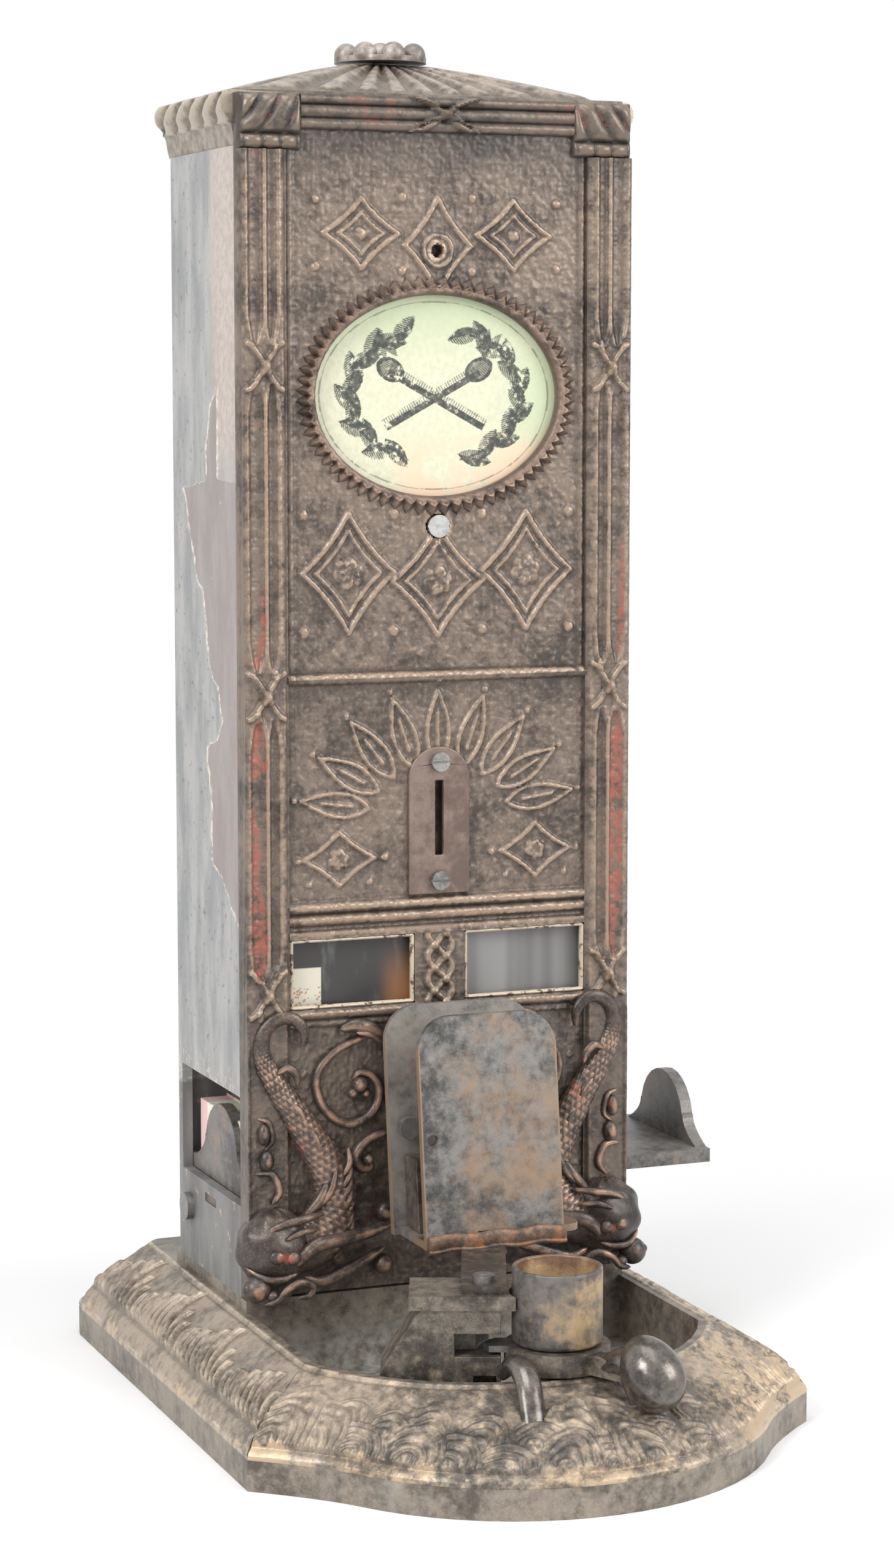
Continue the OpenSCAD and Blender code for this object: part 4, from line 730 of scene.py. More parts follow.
def upper_panel():
    """Field above the middle rail: ornament bands and the seat of the oval picture."""
    part = Relief(-FIELD_HALF, FIELD_HALF, MID_RAIL_Z, FIELD_TOP)
    part.h += pebbles(part)
    cross_bead(part, MID_RAIL_Z, 1.7, 1.7)
    for side in SIDES:
        part.bead([(side * 43.2, MID_RAIL_Z), (side * 43.2, FIELD_TOP)], 0.9, 0.5)
        top, low = (side * 22.5, 324.5), (side * 26.5, 232.0)
        lozenge(part, *top, 11.0, 9.5, 0.8, 0.9)
        lozenge(part, *top, 6.6, 5.6, 0.6, 0.7)
        part.boss(*top, 1.9, 0.9)
        for cx, cz in ((35.6, 333.5), (35.6, 315.5), (10.3, 334.5), (10.3, 314.5)):
            part.boss(side * cx, cz, 1.3, 0.8)
        lozenge(part, *low, 13.6, 16.5, 0.85, 1.0)
        lozenge(part, *low, 9.6, 11.8, 0.6, 0.75)
        rosette(part, *low, 4.6)
        for cx, cz in ((13.2, 215.8), (39.6, 215.8), (13.2, 248.2), (39.6, 248.2)):
            part.boss(side * cx, cz, 1.7, 0.9)
    lozenge(part, 0, 321.5, 9.8, 13.0, 0.8, 0.9)
    part.bead(circle(0, 320.2, 4.2), 0.7, 0.7, True)
    lozenge(part, 0, 229.5, 13.6, 15.2, 0.85, 1.0)
    lozenge(part, 0, 229.5, 9.6, 10.8, 0.6, 0.75)
    rosette(part, 0, 229.5, 4.4)
    cz, rx, rz = OVAL
    part.h[np.hypot(part.x / rx, (part.z - cz) / rz) < 1.06] = -3.0
    for cz, radius, depth in ((320.2, 1.7, -3.4), (244.6, 3.3, -1.7)):
        part.h[np.hypot(part.x, part.z - cz) < radius] = depth
    # painted shade near the side frames and under the top rail
    part.corner_shade = shaded(part, FIELD_TOP)
    part.slab("field_upper", ("front_casting",), 0.75)


def middle_panel():
    """Field between the rails: the fan of lancet leaves round the coin slot plate."""
    part = Relief(-FIELD_HALF, FIELD_HALF, WINDOW[1], MID_RAIL_Z)
    part.h += pebbles(part)
    for z, radius, rise in ((MID_RAIL_Z, 1.7, 1.7), (136.1, 1.55, 1.5), (139.5, 1.45, 1.5)):
        cross_bead(part, z, radius, rise)
    part.h += 1.5 * smooth(133.4, 132.8, part.z)
    t = np.linspace(0, 1, 17)[:, None]
    for k in range(9):
        a = math.radians(90 + (k - 4) * 19.0)
        foot = np.array([21.0 * 1.02 * math.cos(a), 163.0 + 21.0 * 0.72 * math.sin(a)])
        leaf = np.array([42.0 * math.cos(a), 160.0 + 39.0 * math.sin(a)]) - foot
        along = foot + leaf * t
        bulge = np.array([-leaf[1], leaf[0]]) / np.linalg.norm(leaf) * 3.3 * np.sin(np.pi * t ** 0.8)
        part.bead(np.vstack([along + bulge, (along - bulge)[::-1]]), 0.7, 0.85, True)
        part.bead(along[4:12], 0.6, 0.7)
        part.boss(*(foot + leaf * 1.10), 1.0, 0.8)
    for side in SIDES:
        lozenge(part, side * 29.5, 152.8, 10.5, 7.6, 0.75, 0.9)
        rosette(part, side * 29.5, 152.8, 3.2)
        for cx, cz, radius, rise in ((16.0, 152.8, 1.3, 0.8), (42.0, 152.8, 1.3, 0.8),
                                     (20.5, 146.0, 1.0, 0.7), (38.5, 146.0, 1.0, 0.7)):
            part.boss(side * cx, cz, radius, rise)
    part.h[(np.abs(part.x) < 3.0) & (np.abs(part.z - 163.2) < 12.4)] = -3.0
    # painted shade near the side frames and under the middle rail
    part.corner_shade = shaded(part, MID_RAIL_Z - 1.5)
    part.slab("field_middle", worn=0.75)


def mullion():
    """Bar between the windows, with a cord of three strands that follow sines a third of a turn apart."""
    part = Relief(-MULLION, MULLION, *WINDOW)
    part.h += 1.5 + pebbles(part)
    t = np.linspace(0, 1, 30)
    for strand in range(3):
        x = 3.6 * np.sin(2 * np.pi * (1.2 * t + strand / 3))
        part.bead(np.stack([x, 109.5 + 23.5 * t], 1), 1.0, 0.9)
    part.slab("mullion")


def lower_panel():
    """Rough dark field below the windows, behind the sea creatures."""
    part = Relief(-FIELD_HALF, FIELD_HALF, FOOT_Z, WINDOW[0])
    part.h += pebbles(part) + 0.5 * (rough_noise(part.q, 9.0, 41, 3) - 0.5)
    part.h += 1.5 * smooth(107.9, 108.5, part.z)
    cross_bead(part, 107.0, 0.9, 0.8)
    cross_bead(part, 109.9, 1.0, 0.8)
    for side in SIDES:
        for cx, cz, radius in ((33, 69, 1.4), (12, 60, 1.6), (30, 40, 1.5), (9, 78, 1.5), (40.5, 93, 1.2)):
            part.boss(side * cx, cz, radius, 0.5)
    part.slab("field_lower", worn=0.8)


BLOCK_Z, BLOCK_IN, CASTING_TOP = 346.4, 40.2, 361.4


def pilaster(side):
    """Fluted pilaster: beads between painted flutes, pointed flute ends and three ribbon knots."""
    x0, x1 = sorted((side * PILASTER_IN, side * HALF_W))
    part = Relief(x0, x1, FOOT_Z, BLOCK_Z, 0.36)
    out = np.abs(part.x)
    part.h += 2.5 + 0.6 * pebbles(part) - 1.2 * smooth(46.0, 44.6, out)
    flute = np.zeros_like(part.h)
    for lo, hi in ((119.5, 193.0), (205.0, 284.5), (294.0, 356.0)):
        for centre, half, red in ((53.6, 2.3, 1.0), (49.1, 1.6, 0.6)):
            t = np.clip(np.minimum(part.z - lo, hi - part.z) / 9.0, 0, 1)
            wide = half * np.sqrt(t)
            inside = np.clip(1 - ((out - centre) / np.maximum(wide, 0.05)) ** 2, 0, 1) * (t > 0)
            part.h -= 0.75 * inside ** 0.8 * np.minimum(1, t * 3)
            edge = np.abs(np.abs(out - centre) - wide - 0.5)
            part.h += 0.4 * np.sqrt(np.clip(1 - (edge / 0.8) ** 2, 0, 1)) * (t > 0.02)
            flute = np.maximum(flute, (inside > 0.05) * red)
    strong = smooth(0.36, 0.62, rough_noise(part.q * (0.6, 0.16), 5.0, 23 + side, 2))
    strong *= 0.72 + 0.5 * rough_noise(part.q, 3.0, 25, 3)
    part.paint = flute * strong * (0.44 + 0.24 * smooth(250.0, 225.0, part.z))
    t = np.linspace(-1, 1, 17)
    for z in (116.5, 199.0, 288.5):
        for flip in (-1, 1):
            ribbon_line = np.stack([side * 51.2 + flip * 5.0 * t, z + 6.5 * np.sin(t * 1.3)], 1)
            part.bead(ribbon_line, 0.95, 1.3, paint=0.25)
        part.boss(side * 51.2, z - 0.5, 1.9, 1.5, 2.4, 0.3)
        part.boss(side * 53.6, z - 6.0, 1.1, 1.0, 2.0)
        part.boss(side * 48.8, z + 6.0, 1.1, 1.0, 2.0)
    part.h += 0.5 * smooth(56.5, 57.0, out) * smooth(112.0, 100.0, part.z)
    part.slab("pilaster_" + SIDES[side], worn=0.5)


def top_rail():
    """Reeded cornice rail with a crossed ribbon in the middle."""
    part = Relief(-BLOCK_IN, BLOCK_IN, FIELD_TOP, CASTING_TOP)
    part.h += 0.9 + 0.3 * pebbles(part)
    for z, radius in ((353.6, 1.5), (356.9, 1.8), (360.2, 1.4)):
        part.h += 1.3 * np.sqrt(np.clip(1 - ((part.z - z) / radius) ** 2, 0, 1))
    part.paint = 0.5 * smooth(0.35, 0.7, rough_noise(part.q * (0.25, 1), 5.0, 5, 2))
    cx, cz = 1.5, 356.7
    t = np.linspace(-1, 1, 25)
    for flip in (-1, 1):
        wave = flip * np.sin(t * 1.35)
        part.bead(np.stack([cx + 10.0 * t, cz + 5.2 * wave], 1), 0.8, 1.4)
        part.bead(np.stack([cx + 8.0 * t, cz + 3.4 * wave + 0.8], 1), 0.5, 0.9)
    part.boss(cx, cz, 1.7, 1.0)
    part.slab("cornice_rail", worn=0.6)


def corner_block(side):
    """Rounded corner block: slanting leaf folds in the upper part over a lobed roll."""
    x0, x1 = sorted((side * BLOCK_IN, side * HALF_W))
    part = Relief(x0, x1, BLOCK_Z, CASTING_TOP, 0.3)
    u = (part.x - side * 48.85) * side
    round_off = np.clip(1 - np.abs(u / 8.75) ** 5, 0, 1) ** 0.45
    up = np.clip((part.z - 350.6) / 10.8, 0, 1)
    leaf = np.clip(1 - np.abs(2 * up - 1.0) ** 3, 0, 1) ** 0.5
    swirl = np.abs(np.sin(0.40 * u + 0.30 * (part.z - 356) + 0.018 * (part.z - 350) * u))
    part.h += 0.8 + round_off * leaf * (1.7 + 1.7 * swirl ** 0.7)
    lobes = np.abs(np.cos(0.62 * u)) ** 0.5
    part.h += (1.6 + 1.2 * lobes) * round_off * np.sqrt(np.clip(1 - ((part.z - 348.6) / 2.1) ** 2, 0, 1))
    part.paint = 0.75 * (1 - swirl) * leaf * smooth(0.35, 0.6, rough_noise(part.q, 3.0, 31 + side, 2))
    part.slab("corner_block_" + SIDES[side], worn=0.8)


upper_panel()
middle_panel()
mullion()
lower_panel()
top_rail()
for side in SIDES:
    pilaster(side)
    corner_block(side)


# Front casting: the oval frame and applied forms

def oval_frame(teeth=68):
    """Toothed oval frame: a round ring next to the card, then teeth whose reach and height rise to a point."""
    cz, rx, rz = OVAL
    a = np.linspace(0, 2 * np.pi, teeth * 14, endpoint=False)
    w = np.linspace(0, 1, 17)
    tooth = np.arccos(np.cos(teeth * a)) / np.pi
    bead = np.sqrt(np.clip(1 - ((w - 0.28) / 0.28) ** 2, 0, 1))
    outside = smooth(0.36, 0.55, w) * np.sqrt(np.clip(1 - w * w, 0, 1))
    height = 0.3 + 1.7 * bead[None, :] + np.outer(tooth, 2.3 * outside)
    reach = np.outer(3.7 + 1.9 * tooth, w)
    x = (rx + reach) * np.cos(a)[:, None]
    z = cz + (rz + reach) * np.sin(a)[:, None]
    top = np.stack([x, -height, z], -1)
    foot = np.stack([x[:, ::-1], np.full_like(x, 1.6), z[:, ::-1]], -1)[:, [0, -1]]
    ring = np.concatenate([top, foot], axis=1)
    wear = np.concatenate([np.clip(0.12 + height / 4.0, 0, 1), np.full((len(a), 2), 0.5)], axis=1)
    index = np.arange(ring.shape[0] * ring.shape[1]).reshape(ring.shape[:2])
    index = np.pad(index, ((0, 1), (0, 1)), mode="wrap")
    faces = np.stack([index[:-1, :-1], index[1:, :-1], index[1:, 1:], index[:-1, 1:]], -1).reshape(-1, 4)
    add_mesh("oval_frame", ring, faces, "cabinet", FRAME_RUST, fields={"wear": wear}, sharp=60)


def window_rims():
    """Thin cream painted edge round each window."""
    pieces = []
    for side in SIDES:
        x0, x1 = sorted((side * (MULLION + 0.5), side * (PILASTER_IN - 0.6)))
        z0, z1 = WINDOW[0] + 0.5, WINDOW[1] - 0.5
        corners = [(x0, -0.6, z0), (x1, -0.6, z0), (x1, -0.6, z1), (x0, -0.6, z1), (x0, -0.6, z0)]
        pieces += [tube(np.linspace(a, b, 30), 0.55, 1.2, sides=8) for a, b in zip(corners, corners[1:])]
    points, faces, caps, crest = gather(pieces)
    add_mesh("window_rims", points, faces, "cabinet", CREAM, ngons=caps)


def ribbon(path, width, side, depth=0.8, sides=14, count=46, blunt=0.35):
    """Tapered leaf or ribbon along a smooth path: an oval section that swells in the middle."""
    line = curve(np.asarray(path, float) * np.array([side, 1, 1]), count)
    t = np.linspace(0, 1, count)
    swell = blunt + (1 - blunt) * np.sin(np.pi * t) ** 0.7
    swell = swell * np.sqrt(np.clip(np.minimum(t, 1 - t) / 0.06, 0.05, 1))
    return tube(line, width * swell, width * depth * swell, sides=sides)


# Sea creature, right hand: middle line and radius of the body
CREATURE = np.array([
    (45.0, -4.0, 44.0, 6.6), (39.0, -4.6, 46.5, 7.2), (34.4, -4.4, 52.5, 6.8), (32.6, -4.0, 60.0, 5.9),
    (35.0, -3.5, 68.0, 5.1), (39.6, -3.0, 76.0, 4.4), (44.2, -2.8, 83.5, 3.8), (48.6, -2.5, 90.0, 3.3),
    (52.4, -2.3, 97.0, 2.8), (53.4, -2.3, 102.0, 2.5), (52.2, -2.6, 106.6, 2.2), (48.6, -3.2, 109.6, 2.0),
    (44.2, -3.6, 109.4, 1.8), (41.2, -3.6, 105.8, 1.5), (41.2, -3.2, 101.6, 0.8)])
# Eyes, snout, buds and berries: middle, half sizes, rings and sides
BUDS = (
    ((51.9, -11.3, 44.6), (2.4, 1.3, 2.1), 18, 26), ((47.3, -11.6, 44.0), (2.0, 1.2, 1.9), 18, 26),
    ((57.2, -8.2, 35.4), (4.0, 3.8, 3.9), 24, 34), ((59.9, -9.0, 36.0), (1.5, 1.5, 1.5), 14, 24),
    ((53.0, -9.8, 33.4), (1.9, 1.8, 1.6), 14, 24), ((17.1, -2.4, 52.4), (2.9, 2.7, 2.9), 18, 26),
    ((17.7, -2.8, 37.6), (2.9, 2.7, 2.9), 18, 26), ((53.0, -3.0, 77.4), (1.8, 1.8, 3.1), 18, 22),
    ((52.2, -3.2, 70.0), (2.2, 2.0, 3.0), 18, 22))
# Brows, lips, whiskers and leaf fins: half width, bluntness of the ends, path
FINS = (
    (1.25, 0.35, [(37.5, -9.2, 55.4), (43.5, -11.0, 54.6), (50, -10.8, 53.4), (55.4, -8.6, 50.6)]),
    (0.95, 0.35, [(39.5, -10.6, 51.2), (44.5, -12.0, 51.2), (49.6, -12.0, 49.4)]),
    (1.0, 0.35, [(59.6, -6.6, 41.2), (55.2, -10.6, 38.6), (50.4, -11.2, 38.2), (46.0, -10.8, 39.4)]),
    (1.15, 0.5, [(55.6, -10.6, 31.3), (52.0, -11.4, 32.2), (49.2, -11.6, 35.2), (45, -11.2, 36.8),
                 (41.4, -10.6, 35.2), (42.4, -10.6, 32.7), (46, -10.8, 32.4)]),
    (2.2, 0.5, [(46.5, -9.4, 41.0), (43.6, -11.2, 44.6), (40, -11.0, 47.0), (31.4, -8.8, 47.6),
                (24, -7.2, 48.2), (15.8, -5.0, 49.4)]),
    (1.8, 0.35, [(43, -8, 37.5), (38, -7.8, 35.6), (30.7, -6.6, 37.4), (23.4, -5.2, 40.2), (17.5, -3.8, 42.6)]),
    (1.5, 0.35, [(36, -8, 63.5), (38.8, -8.8, 58.8), (43, -8.4, 54.4)]),
    (1.1, 0.35, [(33.6, -8.4, 67), (35.2, -9.0, 61.6), (39, -9.2, 57)]),
    (1.3, 0.35, [(49.5, -4.2, 94.5), (46.4, -4.8, 96), (43.8, -4.6, 93.8), (43.4, -4.0, 90.6)]),
    (1.2, 0.35, [(41, -5.6, 79), (38.2, -6.0, 75), (38.0, -6.2, 70.5)]),
    (1.1, 0.35, [(46, -5, 86.5), (43, -5.4, 83.5), (41.6, -5.6, 79.8)]),
    (0.9, 0.35, [(54.6, -2.6, 82), (51.4, -3.0, 80.5), (50.4, -2.8, 75.5), (52.8, -2.8, 72.8)]),
    (1.2, 0.35, [(55.5, -2.6, 66.5), (50.6, -3.2, 66), (48.6, -3.4, 61), (51, -3.8, 57.5)]),
) + tuple((1.0, 0.35, [(32.6 - 0.2 * k, -8.6, 45.5 + 3.3 * k), (29.4, -7.8, 48.9 + 3.3 * k),
                       (27.8 + 0.25 * k, -6.4, 52.9 + 3.3 * k)]) for k in range(7))


def bud(side, centre, *shape):
    """A ball on one side of the machine."""
    return ball(np.array(centre) * (side, 1, 1), *shape)


def creature_body(side, sides=56):
    """Body of a sea creature: a tube with a hooked tail; rows of round scales, set off by half, swell it."""
    body = curve(CREATURE * np.array([side, 1, 1, 1]), 260)
    u = np.linspace(0, 1, len(body))[:, None]
    a = np.linspace(0, 2 * np.pi, sides, endpoint=False)[None, :]
    along = u * 62.0
    fa = (a / (2 * np.pi) * 15.0 + 0.5 * (np.floor(along) % 2)) % 1.0 - 0.5
    scales = np.clip(1 - (fa / 0.5) ** 2 - (1 - along % 1.0) ** 2 * 0.8, 0, 1) ** 0.5
    scales = scales * smooth(0.04, 0.10, u) * smooth(0.72, 0.55, u)
    points, faces, caps, crest = tube(body[:, :3], body[:, 3], body[:, 3] * 0.78, sides=sides, swell=1 + 0.09 * scales)
    wear = np.clip(0.22 + 0.16 * crest + 0.38 * scales.ravel(), 0, 1)
    red = smooth(0.45, 0.8, value_noise(points, 6.0, 12)) * 0.55
    add_mesh("creature_body_" + SIDES[side], points, faces, "cabinet", CREATURE_BRONZE, ngons=caps,
             fields={"wear": wear, "paint": red}, sharp=70)


def creature_head(side):
    """Head of a sea creature: a folded dome with buds, curled lips and leaf fins."""
    def folds(lat, turn):
        return 1 + 0.022 * np.sin(9 * lat + 3.0 * np.cos(turn)) + 0.02 * np.sin(7 * turn + 4 * lat)

    dome = bud(side, (50.4, -3.6, 45.6), (10.8, 8.6, 10.9), 64, 90, folds)
    pieces = [dome[:3] + (0.3 * dome[3],)] + [bud(side, *row) for row in BUDS]
    pieces += [ribbon(path, width, side, blunt=blunt) for width, blunt, path in FINS]
    points, faces, caps, crest = gather(pieces)
    wear = np.clip(0.24 + 0.46 * crest ** 3 + 0.36 * (value_noise(points, 3.0, 5) - 0.5), 0, 1)
    cheek = np.exp(-((points[:, 0] * side - 49.8) / 4.2) ** 2 - ((points[:, 2] - 44.2) / 2.8) ** 2)
    red = np.clip(0.62 * cheek + 0.42 * smooth(0.5, 0.8, value_noise(points, 7.0, 4)), 0, 1)
    add_mesh("creature_head_" + SIDES[side], points, faces, "cabinet", CREATURE_BRONZE, ngons=caps,
             fields={"wear": wear, "paint": red})


# Scroll and hook beside the pocket, right hand: x and z
SCROLL = [(21.5, 102.6), (25, 101.6), (30.5, 99.4), (35.4, 95), (36.9, 90.3), (35.4, 84.6), (31.6, 80), (26.9, 78.1),
          (22, 79.4), (18.8, 83.4), (18.4, 88), (20.6, 91.4), (24, 92.4), (26.2, 90.6)]
HOOK = [(15.4, 74.9), (19.6, 74.0), (23.4, 71.6), (25.2, 68.3), (23.6, 65.3), (21, 65.4), (20.6, 67.4)]


def scrolls(side):
    """Thin scroll beside the pocket with a bud in its eye, a leaf above it and a small hook below."""
    ring, hook = ([(x, -1.1, z) for x, z in rows] for rows in (SCROLL, HOOK))
    points, faces, caps, crest = gather([
        ribbon(ring, 1.45, side, 1.0, 16, 120, 0.55), ribbon(hook, 1.6, side, 1.0, 16, 60, 0.5),
        bud(side, (24.2, -2.0, 89.2), (2.3, 2.2, 2.2), 18, 26), bud(side, (26.4, -1.8, 86.9), (1.6, 1.8, 1.6)),
        bud(side, (22.4, -1.6, 86.6), (1.3, 1.5, 1.3)), bud(side, (21.6, -1.6, 67.6), (1.6, 1.8, 1.6)),
        ribbon([(16.5, -1.4, 101), (20.5, -2.0, 104.6), (25, -2.2, 106), (30, -1.6, 105.2)], 2.2, side, 0.7),
        ribbon([(17.5, -2.6, 100.6), (21.5, -3.0, 103.2), (25.5, -3.0, 104.2)], 1.0, side),
    ])
    wear = np.clip(0.30 + 0.42 * crest ** 3 + 0.3 * (value_noise(points, 3.0, 6) - 0.5), 0, 1)
    add_mesh("scrolls_" + SIDES[side], points, faces, "cabinet", CREATURE_BRONZE, ngons=caps,
             fields={"wear": wear, "paint": 0.3 * value_noise(points, 7.0, 8)})


def printed_card(leaves=30):
    """Oval card with a print of crossed matches in a wreath: ink is drawn as hatched strokes by distance."""
    r, a = np.meshgrid(np.linspace(0.004, 1, 140), np.linspace(0, 2 * np.pi, 640, endpoint=False), indexing="ij")
    x, z = 38.6 * r * np.cos(a), 30.2 * r * np.sin(a)
    wide, tall = 25.5, 18.5
    ink = np.zeros_like(x)

    def turned(cx, cy, turn):
        """Distances along and across a line through (cx, cy)."""
        u, v, c, s = x - cx, z - cy, math.cos(turn), math.sin(turn)
        return u * c + v * s, v * c - u * s

    def leaf(cx, cy, length, half, turn):
        """A leaf is where the distance across is below half times 1 - (along / length)^2."""
        along, across = turned(cx, cy, turn)
        return np.abs(across) < half * (1 - (along / length) ** 2), along, across

    def hatch(along, share):
        """Strokes across a shape: true over the upper part of each unit of length."""
        return along % 1.0 > share

    for k in range(leaves):
        angle = 2 * math.pi * (k + 0.5) / leaves
        c, s = math.cos(angle), math.sin(angle)
        if not -0.94 <= s <= 0.965:
            continue
        lean = math.atan2(tall * c, -wide * s) + (0.55 if k % 2 else -0.55) + (math.pi if c < 0 else 0)
        inside, along, across = leaf(wide * c + 1.6 * math.cos(lean), tall * s + 1.6 * math.sin(lean), 5.2, 2.3, lean)
        shade = 0.35 + 0.65 * hatch(along * 1.6 + across * 0.8, 0.45)
        ink = np.maximum(ink, inside * np.where(across < 0, 1.0, shade))
    stem = np.abs(np.hypot(x / wide, z / tall) - 1.0)
    ink = np.maximum(ink, (stem < 0.016) & (np.abs(np.sin(a)) < 0.95))
    for flip in (-1, 1):
        along, across = turned(0, 0, flip * 0.50)
        stick = (np.abs(across) < 1.7) & (along * flip > -17.0) & (along * flip < 15.0)
        ink = np.maximum(ink, stick * np.where(across > 0.2, hatch(along * 1.3, 0.55) * 0.8, 1.0))
        for spread in (-0.55, 0.0, 0.55):
            cx, cy = flip * (15.5 + 3.0 * math.sin(spread)), 12.4 + 1.8 * math.cos(spread)
            flame, rise, aside = leaf(cx, cy, 4.4, 1.3, math.pi / 2 - flip * 0.2 - spread)
            ink = np.maximum(ink, flame * (0.45 + 0.55 * hatch(rise * 1.9, 0.5)))
        tip = np.hypot((along * flip - 15.0) / 4.4, across / 3.2)
        ink = np.maximum(ink, (tip < 1.0) * np.where(tip > 0.72, 1.0, 0.55 + 0.45 * hatch(along * 2.2, 0.5)))
    rim = np.abs(np.hypot(x / 34.0, z / 25.8) - 1.0)
    ink = np.maximum(ink, 0.6 * (rim < 0.006))
    rows, columns = x.shape
    z = OVAL[0] + z
    front = np.stack([x, np.full_like(x, 2.0), z], -1).reshape(-1, 3)
    back = np.stack([x[-1], np.full(columns, 2.4), z[-1]], -1)
    rear = x.size + np.arange(columns)
    last = rear - columns
    wall = np.stack([np.roll(last, -1), np.roll(rear, -1), rear, last], -1)
    faces = np.vstack([grid_faces(rows, columns, wrap=True), wall])
    add_mesh("printed_card", np.vstack([front, back]), faces, "cabinet", PRINT, ("picture_card",),
             [np.arange(columns)[::-1], rear], {"ink": np.append(ink, np.zeros(columns))})


def pocket_lip():
    """Folded rusty lip along the foot of the pocket's front plate."""
    x = np.linspace(-17.4, 23.4, 60)
    sag = 0.25 * np.sin(x * 0.5)
    roll = tube(np.column_stack([x, np.full_like(x, -36.9), 50.8 + sag]), 2.5, 0.95, sides=18)
    edge = tube(np.column_stack([x, np.full_like(x, -37.3), 48.9 + sag]), 0.75, 0.9, sides=12)
    points, faces, caps, crest = gather([roll, edge])
    add_mesh("pocket_lip", points, faces, "cabinet", LIP, ngons=caps)


def box_tray():
    """Inner tray of the loaded match box, drawn out towards the left tab."""
    lo, hi = (np.array(corner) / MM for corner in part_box("loaded_matchbox"))
    x, y, z = (lo[0] - 8.2, lo[0] + 4.0), (lo[1] + 0.7, hi[1] - 0.7), (lo[2] + 0.6, hi[2] - 0.7)
    corners = np.array([(a, b, c) for a in x for b in y for c in z])
    faces = [(0, 1, 3, 2), (4, 6, 7, 5), (0, 4, 5, 1), (2, 3, 7, 6), (0, 2, 6, 4), (1, 5, 7, 3)]
    add_mesh("box_tray", corners, faces, "delivery_slide", BOX_CARD)


oval_frame()
printed_card()
box_tray()
pocket_lip()
window_rims()
for side in SIDES:
    creature_body(side)
    creature_head(side)
    scrolls(side)


# Roof

EAVE = np.array([(57.5, 347.5), (58.0, 349.5), (58.7, 353.0), (60.2, 355.7),
                 (61.0, 357.1), (61.0, 359.9), (59.8, 361.9), (57.9, 362.3)])
ROOF_HALF, ROOF_Z = EAVE[-1]
ROOF_Y = (4.2, 63.8)
FINIAL_Y = 44.0


def roof():
    """Domed roof: eaves with slanted lobes over a plain frieze, and petals that fan out from the finial.

    One sheet runs from the left eave over the dome to the right eave, along y. The dome is
    a lift by the larger of |x| and |y - finial| over their spans; petals follow the angle.
    """
    y = np.linspace(*ROOF_Y, 230)
    edge = curve(EAVE, 60)
    span = np.linspace(-ROOF_HALF, ROOF_HALF, 300)[1:-1]
    x = np.concatenate([-edge[:, 0], span, edge[::-1, 0]])
    z = np.concatenate([edge[:, 1], np.full(len(span), ROOF_Z), edge[::-1, 1]])
    x, y = np.meshgrid(x, y)
    z = np.tile(z, (len(y), 1))
    side = np.ones(x.shape, bool)
    side[:, len(edge):-len(edge)] = False
    up = np.clip((z - 353.4) / 8.6, 0, 1)
    lobe = np.abs(np.sin(np.pi * (y - ROOF_Y[0] + 8.0 * up) / 11.9))
    cut = 2.3 * (1 - lobe ** 0.6) * smooth(0.0, 0.2, up) * smooth(1.05, 0.85, up) + 0.7 * smooth(0.06, 0.0, up)
    x = x - np.sign(x) * np.where(side, cut, 0)
    dx = np.abs(x / ROOF_HALF)
    dy = np.where(y < FINIAL_Y, (FINIAL_Y - y) / 39.8, (y - FINIAL_Y) / 19.2)
    s = np.clip(np.hypot(np.maximum(dx, dy), 0.25 * np.minimum(dx, dy)), 0, 1)
    lift = np.interp(s, [0.0, 0.22, 0.45, 0.7, 0.9, 1.0], [12.0, 10.9, 8.3, 4.9, 1.8, 0.3])
    ray = np.abs(np.cos(14 * np.arctan2(y - FINIAL_Y, x)))
    petal = smooth(0.25, 0.95, ray) * smooth(0.97, 0.90, s + 0.10 * (1 - ray)) * smooth(0.08, 0.22, s)
    top = lift - 1.2 * smooth(0.1, 0.3, s) * smooth(1.0, 0.9, s) + 1.3 * petal * smooth(0.1, 0.3, s)
    z = np.where(side, z, z + np.maximum(top, 0.0))
    rows, columns = x.shape
    index = np.arange(rows * columns).reshape(rows, columns)
    ngons = [index[0], index[-1][::-1], np.concatenate([index[:, 0], index[::-1, -1]])]
    wear = np.where(side, np.where(up > 0.02, 0.40 + 0.45 * lobe, 0.62), 0.35 + 0.32 * petal)
    paint = np.where(side, 0.35 * (1 - lobe) * (up > 0.02), 0.1)
    add_mesh("roof_casting", np.stack([x, y, z], -1), grid_faces(rows, columns, flip=True), "cabinet", ROOF_TAN,
             ("roof",), ngons, {"wear": wear, "paint": paint})


roof()


# Base

BASE_HALF, BASE_REAR, REAR_R = 81.0, 87.0, 7.0
BOW_R, BOW_END, BOW_CY = 71.0, math.radians(55), -52.4
BOW_FRONT = BOW_CY - BOW_R
CORNER = np.array([BASE_HALF, -71.0])
RIM_R, RIM_CY, RIM_HALF, RIM_REAR, RIM_REAR_R = 63.6, -28.4, 58.5, 86.0, 4.0
RIM_END = math.asin(RIM_HALF / RIM_R)
BOW_SHARE = 10 / 16


def arc(radius, cy, a):
    """Arc about (0, cy) that starts in front and turns to the right."""
    return np.stack([radius * np.sin(a), cy - radius * np.cos(a)], -1)


def plan_line(s, front, start, end, radius):
    """Front curve up to s = 1, straight flank from start to end up to 2, rear corner of a radius up to 3."""
    flank = start + np.clip(s - 1, 0, 1)[..., None] * (end - start)
    c = np.clip(s - 2, 0, 1) * math.pi / 2
    rear = end - (radius, 0) + radius * np.stack([np.cos(c), np.sin(c)], -1)
    s = s[..., None]
    return np.where(s < 1, front, np.where(s < 2, flank, rear))


